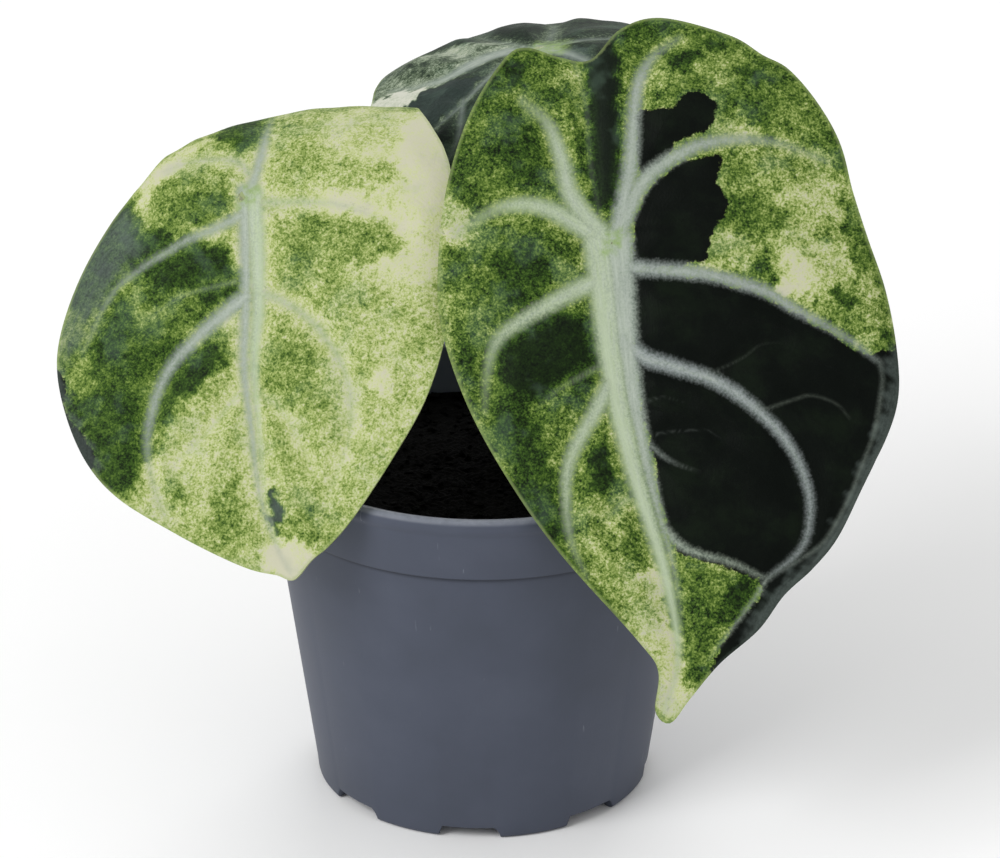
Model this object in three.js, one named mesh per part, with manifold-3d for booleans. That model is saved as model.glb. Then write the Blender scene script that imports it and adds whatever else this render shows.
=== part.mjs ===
// A potted variegated velvet alocasia: a tapered nursery pot of soil and three drooping leaves.
// Millimetres, +Z up. The origin is the centre of the pot's base, and the plant faces -Y.

import * as THREE from 'three';
import Module from 'manifold-3d';
import { mergeVertices } from 'three/addons/utils/BufferGeometryUtils.js';

const wasm = await Module();
wasm.setup();

// Driving dimensions of the pot.
const POT_HEIGHT = 100.5;
const RIM_RADIUS = 60;
const BASE_RADIUS = 45.6;
const COLLAR_BOTTOM = 83;
const COLLAR_STEP = 1.2;
const LIP_WIDTH = 3.8;
const WALL = 1.8;
const FLOOR = 5.2;
const ROUND_SEGMENTS = 64;

// Shallow drain notches around the foot, each with one hole up through the floor.
const NOTCH_COUNT = 8;
const NOTCH_WIDTH = 15.5;
const NOTCH_HEIGHT = 3.4;
const NOTCH_INNER_RADIUS = 33;
const NOTCH_TURN = THREE.MathUtils.degToRad(-4.7);
const DRAIN_RADIUS = 2.5;
const DRAIN_RING_RADIUS = 37.5;

// Clearance between pieces that touch in the real plant.
const GAP = 0.3;

// The soil stops a finger's width below the rim, in low lumps.
const SOIL_TOP = 88;
const SOIL_LUMP = 0.9;

// The crown is a short stem base set in a plain hole in the soil.
const CROWN = { x: 16, y: 8, bottom: 76, top: 98, radius: 9.6 };
const PETIOLE_HOLE_DEPTH = 7;
const PETIOLE_RING_RADIUS = 5;
const PETIOLE_BASE_RADIUS = 2.7;
const PETIOLE_TOP_RADIUS = 1.9;
const PETIOLE_SIDES = 12;
const PETIOLE_STEPS = 22;

// Leaf blades.
const BLADE_THICKNESS = 0.8;
const OUTLINE_STEPS = 2;
const BLADE_RINGS = 9;
const FOLD_SOFTNESS = 4;

// Each blade is drawn flat as [u, v], with [0, 0] where its petiole meets it, v towards the tip
// and u towards the right as its upper face is seen with the tip down. Each bend then rolls the
// sheet away from its face about a straight line: it runs from start to stop along a direction
// in degrees from the tip, +90 being +u, at a radius. The face and tip vectors place the blade.
const LEAVES = [
  {
    name: 'front',
    color: 0x56713a,
    attachment: [33.5, -25.8, 164.1],
    tip: [0.105, -0.508, -0.855],
    face: [0.06, -0.855, 0.515],
    hub: [14, 80],
    foldDegrees: 3,
    bends: [
      { direction: 90, start: 62, stop: 80, radius: 18 },
      { direction: 90, start: 10, stop: 60, radius: 330 },
      { direction: -90, start: 8, stop: 60, radius: 170 },
      { direction: 180, start: 8, stop: 60, radius: 150 },
      { direction: 0, start: 30, stop: 110, radius: 700 },
    ],
    outline: [
      [0, -50], [9, -58], [20, -60], [37, -53], [44.7, -46.7], [50.9, -42.2], [57.2, -32.4],
      [61.8, -20.8], [63.4, -8], [65.8, 5], [68.7, 18.5], [69.9, 33], [69, 46], [64.5, 57.5],
      [57, 70], [49.7, 81.5], [42.5, 88.7], [34.5, 94.8], [27, 103], [16.2, 110.6], [7.7, 118.8],
      [2, 124.5], [-1.5, 121], [0.2, 111], [-4.2, 102.8], [-21.2, 79.5], [-32.3, 60], [-41.3, 38.5],
      [-46, 17], [-45, 0], [-40.5, -20], [-32.5, -38.5], [-22, -52.5], [-16, -55], [-8, -51.5],
    ],
    petioleTurn: -45,
    petioleRoute: [[22.5, 1.5, 118], [27, -5, 140], [31, -14, 154]],
  },
  {
    name: 'left',
    color: 0x9aa868,
    attachment: [-61.6, -4.3, 168],
    tip: [-0.045, -0.535, -0.843],
    face: [-0.234, -0.815, 0.53],
    hub: [1, 25],
    foldDegrees: 2,
    bends: [
      { direction: -120, start: 4, stop: 60, radius: 50 },
      { direction: 90, start: 20, stop: 70, radius: 250 },
      { direction: 180, start: 2.6, stop: 42, radius: 25.6 },
      { direction: 0, start: 30, stop: 90, radius: 800 },
    ],
    outline: [
      [0, -34], [8, -45], [22, -50], [33, -47], [39, -38.5], [43, -30], [47.9, -21.5],
      [52.4, -13.7], [55, -5], [55.2, 14], [54.2, 36], [50.3, 53], [43, 68], [33, 83], [24, 93],
      [17.5, 100], [10, 99], [-1, 95], [-15, 88.5], [-30.5, 79.8], [-40, 70], [-46.5, 56.5],
      [-50, 43], [-49.2, 30], [-45.6, 17], [-39.5, 5], [-31.5, -6], [-28, -17], [-27, -30],
      [-22, -42], [-13, -46], [-5, -42],
    ],
    petioleTurn: 190,
    petioleRoute: [[4, 7, 118], [-6, 2, 136], [-26, 1, 151], [-47, 3, 159]],
  },
  {
    name: 'back',
    color: 0x6f7c66,
    attachment: [14.9, 55.8, 188.6],
    tip: [-0.834, -0.541, -0.11],
    face: [-0.179, 0.076, 0.981],
    hub: [0, 20],
    foldDegrees: 0,
    bends: [
      { direction: -90, start: 12, stop: 70, radius: 103 },
      { direction: 90, start: 5, stop: 45, radius: 44 },
      { direction: 0, start: 3, stop: 28, radius: 76 },
      { direction: 0, start: 28, stop: 90, radius: 180 },
      { direction: 180, start: 1, stop: 38, radius: 92 },
    ],
    outline: [
      [0, -38], [9, -47], [22, -46], [36, -36], [44, -20], [46, 0], [43, 22], [35, 46], [22, 68],
      [8, 86], [2, 93], [-5, 86], [-20, 72], [-36, 56], [-47, 38], [-51, 20], [-50, 0], [-45, -20],
      [-36, -36], [-22, -46], [-9, -47],
    ],
    petioleTurn: 70,
    petioleRoute: [[17.5, 19, 120], [17.5, 35, 150], [16.5, 49, 173]],
  },
];

const { degToRad } = THREE.MathUtils;

function toSolid(geometry) {
  const bare = geometry.clone();
  bare.deleteAttribute('normal');
  bare.deleteAttribute('uv');
  const merged = mergeVertices(bare, 1e-4);
  const indices = Array.from(merged.index.array);
  const triangles = [];
  for (let i = 0; i < indices.length; i += 3) {
    const [a, b, c] = indices.slice(i, i + 3);
    if (a !== b && b !== c && c !== a) {
      triangles.push(a, b, c);
    }
  }
  return new wasm.Manifold(new wasm.Mesh({
    numProp: 3,
    vertProperties: new Float32Array(merged.attributes.position.array),
    triVerts: new Uint32Array(triangles),
  }));
}

function toGeometry(solid) {
  const mesh = solid.getMesh();
  const geometry = new THREE.BufferGeometry();
  geometry.setAttribute('position', new THREE.BufferAttribute(mesh.vertProperties, 3));
  geometry.setIndex(new THREE.BufferAttribute(mesh.triVerts, 1));
  return geometry;
}

function namedMesh(name, geometry, color, roughness) {
  const material = new THREE.MeshStandardMaterial({ color, roughness, metalness: 0 });
  material.name = name;
  const mesh = new THREE.Mesh(geometry, material);
  mesh.name = name;
  return mesh;
}

// Turns a closed [radius, height] profile about +Z.
function revolve(profile) {
  const points = profile.map(([radius, height]) => new THREE.Vector2(radius, height));
  return new THREE.LatheGeometry(points, ROUND_SEGMENTS).rotateX(Math.PI / 2);
}

function uprightCylinder(radius, bottom, top, x, y) {
  const geometry = new THREE.CylinderGeometry(radius, radius, top - bottom, 24);
  return geometry.rotateX(Math.PI / 2).translate(x, y, (top + bottom) / 2);
}

// Inner radius of the pot wall at a height.
function innerRadius(height) {
  const lipRadius = RIM_RADIUS - LIP_WIDTH;
  const floorRadius = BASE_RADIUS - WALL;
  const share = (height - FLOOR) / (POT_HEIGHT - FLOOR);
  return THREE.MathUtils.lerp(floorRadius, lipRadius, share);
}

function buildPot() {
  const bodyTop = RIM_RADIUS - 2.2 - COLLAR_STEP;
  const profile = [
    [0, 0],
    [BASE_RADIUS - 1.6, 0],
    [BASE_RADIUS - 0.8, 0.3],
    [BASE_RADIUS - 0.3, 1],
    [BASE_RADIUS, 4],
    [bodyTop, COLLAR_BOTTOM],
    [bodyTop + COLLAR_STEP - 0.2, COLLAR_BOTTOM],
    [bodyTop + COLLAR_STEP, COLLAR_BOTTOM + 0.4],
    [RIM_RADIUS - 0.8, POT_HEIGHT - 4],
    [RIM_RADIUS, POT_HEIGHT - 2.6],
    [RIM_RADIUS, POT_HEIGHT - 1.2],
    [RIM_RADIUS - 1, POT_HEIGHT - 0.2],
    [RIM_RADIUS - 2, POT_HEIGHT],
    [RIM_RADIUS - LIP_WIDTH + 0.6, POT_HEIGHT - 0.3],
    [innerRadius(POT_HEIGHT - 1.4), POT_HEIGHT - 1.4],
    [innerRadius(FLOOR + 1), FLOOR + 1],
    [innerRadius(FLOOR) - 1, FLOOR],
    [0, FLOOR],
  ];
  let pot = toSolid(revolve(profile));
  for (let i = 0; i < NOTCH_COUNT; i += 1) {
    const turn = NOTCH_TURN + (i * 2 * Math.PI) / NOTCH_COUNT;
    const length = BASE_RADIUS + 4 - NOTCH_INNER_RADIUS;
    const middle = NOTCH_INNER_RADIUS + length / 2;
    const notch = new THREE.BoxGeometry(NOTCH_WIDTH, length, 2 * NOTCH_HEIGHT);
    notch.translate(0, -middle, 0).rotateZ(turn);
    const drain = uprightCylinder(DRAIN_RADIUS, -1, FLOOR + 1, 0, -DRAIN_RING_RADIUS);
    drain.rotateZ(turn);
    pot = pot.subtract(toSolid(notch)).subtract(toSolid(drain));
  }
  return namedMesh('pot', toGeometry(pot), 0x595d68, 0.45);
}

// Height of the soil's lumps at a place.
function soilLump(x, y) {
  const broad = Math.sin(x * 0.17 + 1.1) * Math.cos(y * 0.21 - 0.4);
  const fine = Math.sin(x * 0.43 - y * 0.31) * Math.cos(y * 0.37 + x * 0.12);
  return SOIL_LUMP * (0.6 * broad + 0.4 * fine);
}

function buildSoil() {
  const bottom = FLOOR + GAP;
  const wall = (height) => innerRadius(height) - GAP;
  const profile = [
    [0, bottom],
    [wall(bottom) - 1, bottom],
    [wall(bottom + 1), bottom + 1],
    [wall(SOIL_TOP - 1), SOIL_TOP - 1.5],
  ];
  const topRings = [50, 42, 34, 26, 18, 9, 0];
  topRings.forEach((radius) => profile.push([radius, SOIL_TOP]));
  const geometry = revolve(profile);
  const position = geometry.attributes.position;
  for (let i = 0; i < position.count; i += 1) {
    if (position.getZ(i) > SOIL_TOP - 0.5) {
      position.setZ(i, SOIL_TOP + soilLump(position.getX(i), position.getY(i)));
    }
  }
  const hole = uprightCylinder(
    CROWN.radius + 2 * GAP, CROWN.bottom - GAP, SOIL_TOP + 10, CROWN.x, CROWN.y,
  );
  const soil = toSolid(geometry).subtract(toSolid(hole));
  return namedMesh('soil', toGeometry(soil), 0x14130f, 0.95);
}

// Where a petiole stands on the crown, at a height.
function petioleFoot(leaf, height) {
  const turn = degToRad(leaf.petioleTurn);
  return new THREE.Vector3(
    CROWN.x + PETIOLE_RING_RADIUS * Math.cos(turn),
    CROWN.y + PETIOLE_RING_RADIUS * Math.sin(turn),
    height,
  );
}

function buildCrown() {
  const { radius, bottom, top } = CROWN;
  const profile = [
    [0, bottom],
    [radius - 1.5, bottom],
    [radius, bottom + 2],
    [radius, top - 7],
    [radius - 0.5, top - 2],
    [radius - 1.6, top],
    [0, top],
  ];
  const points = profile.map(([r, height]) => new THREE.Vector2(r, height));
  const body = new THREE.LatheGeometry(points, 28).rotateX(Math.PI / 2);
  body.translate(CROWN.x, CROWN.y, 0);
  let crown = toSolid(body);
  LEAVES.forEach((leaf) => {
    const { x, y } = petioleFoot(leaf, 0);
    const radiusOfHole = PETIOLE_BASE_RADIUS + GAP;
    const hole = uprightCylinder(radiusOfHole, top - PETIOLE_HOLE_DEPTH, top + 2, x, y);
    crown = crown.subtract(toSolid(hole));
  });
  return namedMesh('crown', toGeometry(crown), 0x6b6a45, 0.7);
}

// Rolls a point of the sheet away from its face along one bend.
function bendPoint(point, { direction, start, stop, radius }) {
  const turn = degToRad(direction);
  const du = Math.sin(turn);
  const dv = Math.cos(turn);
  const along = point.u * du + point.v * dv;
  const over = THREE.MathUtils.clamp(along - start, 0, stop - start);
  const rest = Math.max(along - stop, 0);
  const angle = over / radius;
  const sine = Math.sin(angle);
  const cosine = Math.cos(angle);
  const moved = Math.min(along, start) + radius * sine + rest * cosine + point.z * sine;
  const shift = moved - along;
  return {
    u: point.u + shift * du,
    v: point.v + shift * dv,
    z: point.z * cosine - radius * (1 - cosine) - rest * sine,
  };
}

// Maps a place on the flat sheet to the blade's own frame, with y pointing away from the tip.
function formPoint(leaf, u, v, depth) {
  const rise = Math.hypot(u, FOLD_SOFTNESS) - FOLD_SOFTNESS;
  let point = { u, v, z: rise * Math.tan(degToRad(leaf.foldDegrees)) - depth };
  leaf.bends.forEach((bend) => {
    point = bendPoint(point, bend);
  });
  return [point.u, -point.v, point.z];
}

// A smooth closed curve through the outline's points.
function smoothOutline(points) {
  const count = points.length;
  const result = [];
  for (let i = 0; i < count; i += 1) {
    const [before, from, to, after] = [-1, 0, 1, 2].map((k) => points[(i + k + count) % count]);
    for (let step = 0; step < OUTLINE_STEPS; step += 1) {
      const t = step / OUTLINE_STEPS;
      result.push([0, 1].map((axis) => {
        const slopeFrom = (to[axis] - before[axis]) / 2;
        const slopeTo = (after[axis] - from[axis]) / 2;
        const change = from[axis] - to[axis];
        const cubic = 2 * change + slopeFrom + slopeTo;
        const square = -3 * change - 2 * slopeFrom - slopeTo;
        return from[axis] + t * (slopeFrom + t * (square + t * cubic));
      }));
    }
  }
  return result;
}

// A thin sheet of rings and spokes from the hub to the outline, split alike on both faces.
function bladeGeometry(leaf) {
  const outline = smoothOutline(leaf.outline);
  const spokes = outline.length;
  const [hubU, hubV] = leaf.hub;
  const positions = [];
  const perFace = 1 + spokes * BLADE_RINGS;
  [0, BLADE_THICKNESS].forEach((depth) => {
    positions.push(...formPoint(leaf, hubU, hubV, depth));
    for (let ring = 1; ring <= BLADE_RINGS; ring += 1) {
      const share = ring / BLADE_RINGS;
      outline.forEach(([u, v]) => {
        const ringU = THREE.MathUtils.lerp(hubU, u, share);
        const ringV = THREE.MathUtils.lerp(hubV, v, share);
        positions.push(...formPoint(leaf, ringU, ringV, depth));
      });
    }
  });
  const upper = [];
  const at = (ring, spoke) => 1 + (ring - 1) * spokes + (spoke % spokes);
  for (let spoke = 0; spoke < spokes; spoke += 1) {
    upper.push([0, at(1, spoke + 1), at(1, spoke)]);
    for (let ring = 1; ring < BLADE_RINGS; ring += 1) {
      const [a, b] = [at(ring, spoke), at(ring + 1, spoke)];
      const [c, d] = [at(ring + 1, spoke + 1), at(ring, spoke + 1)];
      upper.push([a, c, b], [a, d, c]);
    }
  }
  const indices = [];
  upper.forEach(([a, b, c]) => {
    indices.push(a, b, c);
    indices.push(perFace + a, perFace + c, perFace + b);
  });
  for (let spoke = 0; spoke < spokes; spoke += 1) {
    const a = at(BLADE_RINGS, spoke);
    const b = at(BLADE_RINGS, spoke + 1);
    indices.push(a, perFace + b, perFace + a);
    indices.push(a, b, perFace + b);
  }
  const geometry = new THREE.BufferGeometry();
  geometry.setAttribute('position', new THREE.Float32BufferAttribute(positions, 3));
  geometry.setIndex(indices);
  return geometry;
}

function leafAxes(leaf) {
  const tip = new THREE.Vector3(...leaf.tip).normalize();
  const face = new THREE.Vector3(...leaf.face);
  face.addScaledVector(tip, -face.dot(tip)).normalize();
  return { tip, face, side: new THREE.Vector3().crossVectors(face, tip) };
}

function buildBlade(leaf) {
  const { tip, face, side } = leafAxes(leaf);
  const mesh = namedMesh(`${leaf.name}_leaf_blade`, bladeGeometry(leaf), leaf.color, 0.6);
  const basis = new THREE.Matrix4().makeBasis(side, tip.clone().negate(), face);
  mesh.quaternion.setFromRotationMatrix(basis);
  mesh.position.set(...leaf.attachment);
  return mesh;
}

// A tapered stalk from its hole in the crown to just behind its blade.
function buildPetiole(leaf) {
  const { face } = leafAxes(leaf);
  const attachment = new THREE.Vector3(...leaf.attachment);
  const behind = (distance) => attachment.clone().addScaledVector(face, -distance);
  const bottom = CROWN.top - PETIOLE_HOLE_DEPTH + GAP;
  const curve = new THREE.CatmullRomCurve3([
    petioleFoot(leaf, bottom),
    petioleFoot(leaf, CROWN.top + 1),
    ...leaf.petioleRoute.map((point) => new THREE.Vector3(...point)),
    behind(5),
    behind(BLADE_THICKNESS + GAP),
  ]);
  const frames = curve.computeFrenetFrames(PETIOLE_STEPS);
  const positions = [];
  for (let step = 0; step <= PETIOLE_STEPS; step += 1) {
    const share = step / PETIOLE_STEPS;
    const centre = curve.getPointAt(share);
    const radius = THREE.MathUtils.lerp(PETIOLE_BASE_RADIUS, PETIOLE_TOP_RADIUS, share);
    for (let side = 0; side < PETIOLE_SIDES; side += 1) {
      const angle = (side * 2 * Math.PI) / PETIOLE_SIDES;
      const point = centre.clone();
      point.addScaledVector(frames.normals[step], radius * Math.cos(angle));
      point.addScaledVector(frames.binormals[step], radius * Math.sin(angle));
      positions.push(point.x, point.y, point.z);
    }
  }
  const start = curve.getPointAt(0);
  const end = curve.getPointAt(1);
  positions.push(start.x, start.y, start.z, end.x, end.y, end.z);
  const startIndex = (PETIOLE_STEPS + 1) * PETIOLE_SIDES;
  const endIndex = startIndex + 1;
  const indices = [];
  for (let side = 0; side < PETIOLE_SIDES; side += 1) {
    const next = (side + 1) % PETIOLE_SIDES;
    for (let step = 0; step < PETIOLE_STEPS; step += 1) {
      const low = step * PETIOLE_SIDES;
      const high = low + PETIOLE_SIDES;
      indices.push(low + side, low + next, high + next);
      indices.push(low + side, high + next, high + side);
    }
    const last = PETIOLE_STEPS * PETIOLE_SIDES;
    indices.push(startIndex, next, side);
    indices.push(endIndex, last + side, last + next);
  }
  const geometry = new THREE.BufferGeometry();
  geometry.setAttribute('position', new THREE.Float32BufferAttribute(positions, 3));
  geometry.setIndex(indices);
  return namedMesh(`${leaf.name}_petiole`, geometry, 0x5f6f45, 0.6);
}

const plant = new THREE.Group();
plant.name = 'potted_alocasia';
plant.add(buildPot(), buildSoil(), buildCrown());
LEAVES.forEach((leaf) => {
  plant.add(buildBlade(leaf), buildPetiole(leaf));
});

export default plant;
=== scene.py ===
"""Dresses the potted variegated velvet alocasia over its CAD frame.

Plan positions on a blade and the sizes of the pieces are in millimetres, and meshes are in metres.
On a blade's flat plan, (0, 0) is where the petiole meets it, v runs towards the tip and u to the
right as the upper face is seen with the tip down.
"""

import logging
import math
from collections.abc import Callable, Sequence
from dataclasses import dataclass
from enum import Enum
from typing import ClassVar

import bpy
import numpy as np
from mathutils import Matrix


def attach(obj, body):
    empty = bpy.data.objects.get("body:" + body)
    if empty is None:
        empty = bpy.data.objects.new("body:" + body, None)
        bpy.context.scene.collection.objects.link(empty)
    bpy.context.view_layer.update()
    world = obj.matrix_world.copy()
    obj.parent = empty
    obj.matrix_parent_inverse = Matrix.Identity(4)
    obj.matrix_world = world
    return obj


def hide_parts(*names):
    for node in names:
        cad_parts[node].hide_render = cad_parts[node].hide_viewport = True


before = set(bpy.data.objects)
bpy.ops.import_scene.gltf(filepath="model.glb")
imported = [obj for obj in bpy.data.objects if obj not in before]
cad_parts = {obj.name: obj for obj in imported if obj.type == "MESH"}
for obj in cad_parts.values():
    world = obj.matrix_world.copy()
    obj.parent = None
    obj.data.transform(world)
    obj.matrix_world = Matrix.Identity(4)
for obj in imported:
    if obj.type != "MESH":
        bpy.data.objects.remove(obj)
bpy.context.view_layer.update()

logging.basicConfig(level=logging.INFO, format="%(message)s")
LOG = logging.getLogger("alocasia")

MM = 0.001
FULL_TURN = 2.0 * math.pi

Point = tuple[float, float]
Place = tuple[float, float, float]
Socket = bpy.types.NodeSocket

EVEN: Place = (1.0, 1.0, 1.0)


# Colours and node trees


def tone(code: str) -> tuple[float, float, float, float]:
    """Turns a display colour into a linear one.

    Args:
        code: Six hexadecimal digits, two for each of red, green and blue.

    Returns:
        The linear red, green, blue and alpha.
    """
    shown = [int(code[i:i + 2], 16) / 255.0 for i in (0, 2, 4)]
    linear = [c / 12.92 if c <= 0.04045 else ((c + 0.055) / 1.055) ** 2.4 for c in shown]
    return (linear[0], linear[1], linear[2], 1.0)


@dataclass(frozen=True)
class Wave:
    """A number that varies over a surface, which plain sums and products can use.

    Attributes:
        sketch: The material that it belongs to.
        socket: The output that gives it.
    """

    sketch: "Sketch"
    socket: Socket

    def __add__(self, other: "Wave | float") -> "Wave":
        """Adds another."""
        return self.sketch.math("ADD", self, other)

    def __sub__(self, other: "Wave | float") -> "Wave":
        """Takes another away."""
        return self.sketch.math("SUBTRACT", self, other)

    def __rsub__(self, other: float) -> "Wave":
        """Takes it away from a plain number."""
        return self.sketch.math("SUBTRACT", other, self)

    def __mul__(self, other: "Wave | float") -> "Wave":
        """Multiplies it by another."""
        return self.sketch.math("MULTIPLY", self, other)

    def fade(self, low: float, high: float) -> "Wave":
        """Turns it into a soft step.

        Args:
            low: Where the step is 0.
            high: Where the step is 1, which may be under low.

        Returns:
            The step, from 0 to 1.
        """
        node = self.sketch.tree.nodes.new("ShaderNodeMapRange")
        node.interpolation_type = "SMOOTHSTEP"
        rising = low < high
        self.sketch.feed(node.inputs["Value"], self)
        node.inputs["From Min"].default_value = low if rising else high
        node.inputs["From Max"].default_value = high if rising else low
        node.inputs["To Min"].default_value = 0.0 if rising else 1.0
        node.inputs["To Max"].default_value = 1.0 if rising else 0.0
        return Wave(self.sketch, node.outputs["Result"])


class Sketch:
    """A material's node tree, with short calls for the nodes that the finishes share."""

    def __init__(self, name: str) -> None:
        """Starts a material with one shader.

        Args:
            name: The material's name.
        """
        self.material = bpy.data.materials.new(name)
        self.material.use_nodes = True
        self.tree = self.material.node_tree
        self.shader = self.tree.nodes["Principled BSDF"]
        self.place = self.tree.nodes.new("ShaderNodeTexCoord").outputs["Object"]

    def feed(self, socket: Socket, value: object) -> None:
        """Links a socket to an output, or sets its own value.

        Args:
            socket: The input.
            value: A wave, an output or a plain value.
        """
        source = value.socket if isinstance(value, Wave) else value
        if isinstance(source, Socket):
            self.tree.links.new(source, socket)
        else:
            socket.default_value = source

    def attribute(self, name: str) -> Wave:
        """Reads a number that the mesh stores at each vertex.

        Args:
            name: The number's name.

        Returns:
            The number.
        """
        node = self.tree.nodes.new("ShaderNodeAttribute")
        node.attribute_name = name
        return Wave(self, node.outputs["Fac"])

    def height(self) -> Wave:
        """Measures the height above the floor.

        Returns:
            The height, in metres.
        """
        node = self.tree.nodes.new("ShaderNodeSeparateXYZ")
        self.tree.links.new(self.place, node.inputs[0])
        return Wave(self, node.outputs[2])

    def math(self, operation: str, first: Wave | float, second: Wave | float) -> Wave:
        """Combines two numbers.

        Args:
            operation: The Math node's operation.
            first: The first number.
            second: The second number.

        Returns:
            The result.
        """
        node = self.tree.nodes.new("ShaderNodeMath")
        node.operation = operation
        self.feed(node.inputs[0], first)
        self.feed(node.inputs[1], second)
        return Wave(self, node.outputs[0])

    def cloud(self, source: Socket, stretch: Place, scale: float, detail: float,
              rough: float) -> Wave:
        """Makes noise over any coordinates.

        Args:
            source: The coordinates.
            stretch: How many times finer the noise is along each axis.
            scale: How many lumps there are to a unit.
            detail: How many finer layers are added.
            rough: How strong the finer layers are.

        Returns:
            The noise, centred on 0 and about 0.5 either way.
        """
        node = self.tree.nodes.new("ShaderNodeTexNoise")
        node.inputs["Scale"].default_value = scale
        node.inputs["Detail"].default_value = detail
        node.inputs["Roughness"].default_value = rough
        if stretch != EVEN:
            mapping = self.tree.nodes.new("ShaderNodeMapping")
            mapping.inputs["Scale"].default_value = stretch
            self.tree.links.new(source, mapping.inputs["Vector"])
            source = mapping.outputs["Vector"]
        self.tree.links.new(source, node.inputs["Vector"])
        return Wave(self, node.outputs[0]) - 0.5

    def noise(self, grain_mm: float, detail: float = 3.0, rough: float = 0.6,
              stretch: Place = EVEN) -> Wave:
        """Makes noise whose largest lumps have a real size.

        Args:
            grain_mm: The lumps' size in millimetres.
            detail: How many finer layers are added.
            rough: How strong the finer layers are.
            stretch: How many times finer the noise is along each axis.

        Returns:
            The noise, centred on 0 and about 0.5 either way.
        """
        return self.cloud(self.place, stretch, 1.0 / (grain_mm * MM), detail, rough)

    def weave(self, along_mm: float, across_mm: float, detail: float = 2.0) -> Wave:
        """Makes noise that follows the nearest vein.

        Args:
            along_mm: The lumps' length along the vein.
            across_mm: Their width across it.
            detail: How many finer layers are added.

        Returns:
            The noise, centred on 0 and about 0.5 either way.
        """
        stored = self.tree.nodes.new("ShaderNodeAttribute")
        stored.attribute_name = "fibre"
        stretch = (1.0 / along_mm, 1.0 / across_mm, 1.0)
        return self.cloud(stored.outputs["Vector"], stretch, 1.0, detail, 0.5)

    def spots(self, spacing_mm: float, share: float) -> Wave:
        """Makes small scattered round spots.

        Args:
            spacing_mm: The usual distance between two spots.
            share: A spot's radius, as a share of that distance.

        Returns:
            The spots, 1 inside a spot.
        """
        node = self.tree.nodes.new("ShaderNodeTexVoronoi")
        node.inputs["Scale"].default_value = 1.0 / (spacing_mm * MM)
        self.tree.links.new(self.place, node.inputs["Vector"])
        return Wave(self, node.outputs["Distance"]).fade(share, share * 0.4)

    def mix(self, share: Wave | float, first: object, second: object) -> Socket:
        """Mixes two colours.

        Args:
            share: How much of the second is used, from 0 to 1.
            first: A colour, its display code or an output.
            second: A colour, its display code or an output.

        Returns:
            The mixed colour's output.
        """
        node = self.tree.nodes.new("ShaderNodeMix")
        node.data_type = "RGBA"
        self.feed(node.inputs[0], share)
        for socket, color in ((node.inputs[6], first), (node.inputs[7], second)):
            self.feed(socket, tone(color) if isinstance(color, str) else color)
        return node.outputs[2]

    def ramp(self, value: Wave, *stops: tuple[float, str]) -> Socket:
        """Colours a number.

        Args:
            value: The number.
            stops: Positions from 0 to 1, each with its display colour.

        Returns:
            The colour's output.
        """
        node = self.tree.nodes.new("ShaderNodeValToRGB")
        elements = node.color_ramp.elements
        while len(elements) < len(stops):
            elements.new(0.5)
        for element, (position, code) in zip(elements, stops):
            element.position = position
            element.color = tone(code)
        self.feed(node.inputs[0], value)
        return node.outputs[0]

    def relief(self, height: Wave, depth_mm: float, strength: float) -> None:
        """Gives the surface a fine relief.

        Args:
            height: The relief.
            depth_mm: How deep one unit of it is.
            strength: How much of it shows.
        """
        node = self.tree.nodes.new("ShaderNodeBump")
        node.inputs["Strength"].default_value = strength
        node.inputs["Distance"].default_value = depth_mm * MM
        self.feed(node.inputs["Height"], height)
        self.tree.links.new(node.outputs["Normal"], self.shader.inputs["Normal"])

    def finish(self, color: Socket, roughness: Wave | float, specular: float) -> bpy.types.Material:
        """Sets the shader's own values.

        Args:
            color: The base colour.
            roughness: The roughness.
            specular: The specular level.

        Returns:
            The finished material.
        """
        self.feed(self.shader.inputs["Base Color"], color)
        self.feed(self.shader.inputs["Roughness"], roughness)
        self.shader.inputs["Specular IOR Level"].default_value = specular
        return self.material


# Finishes


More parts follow.
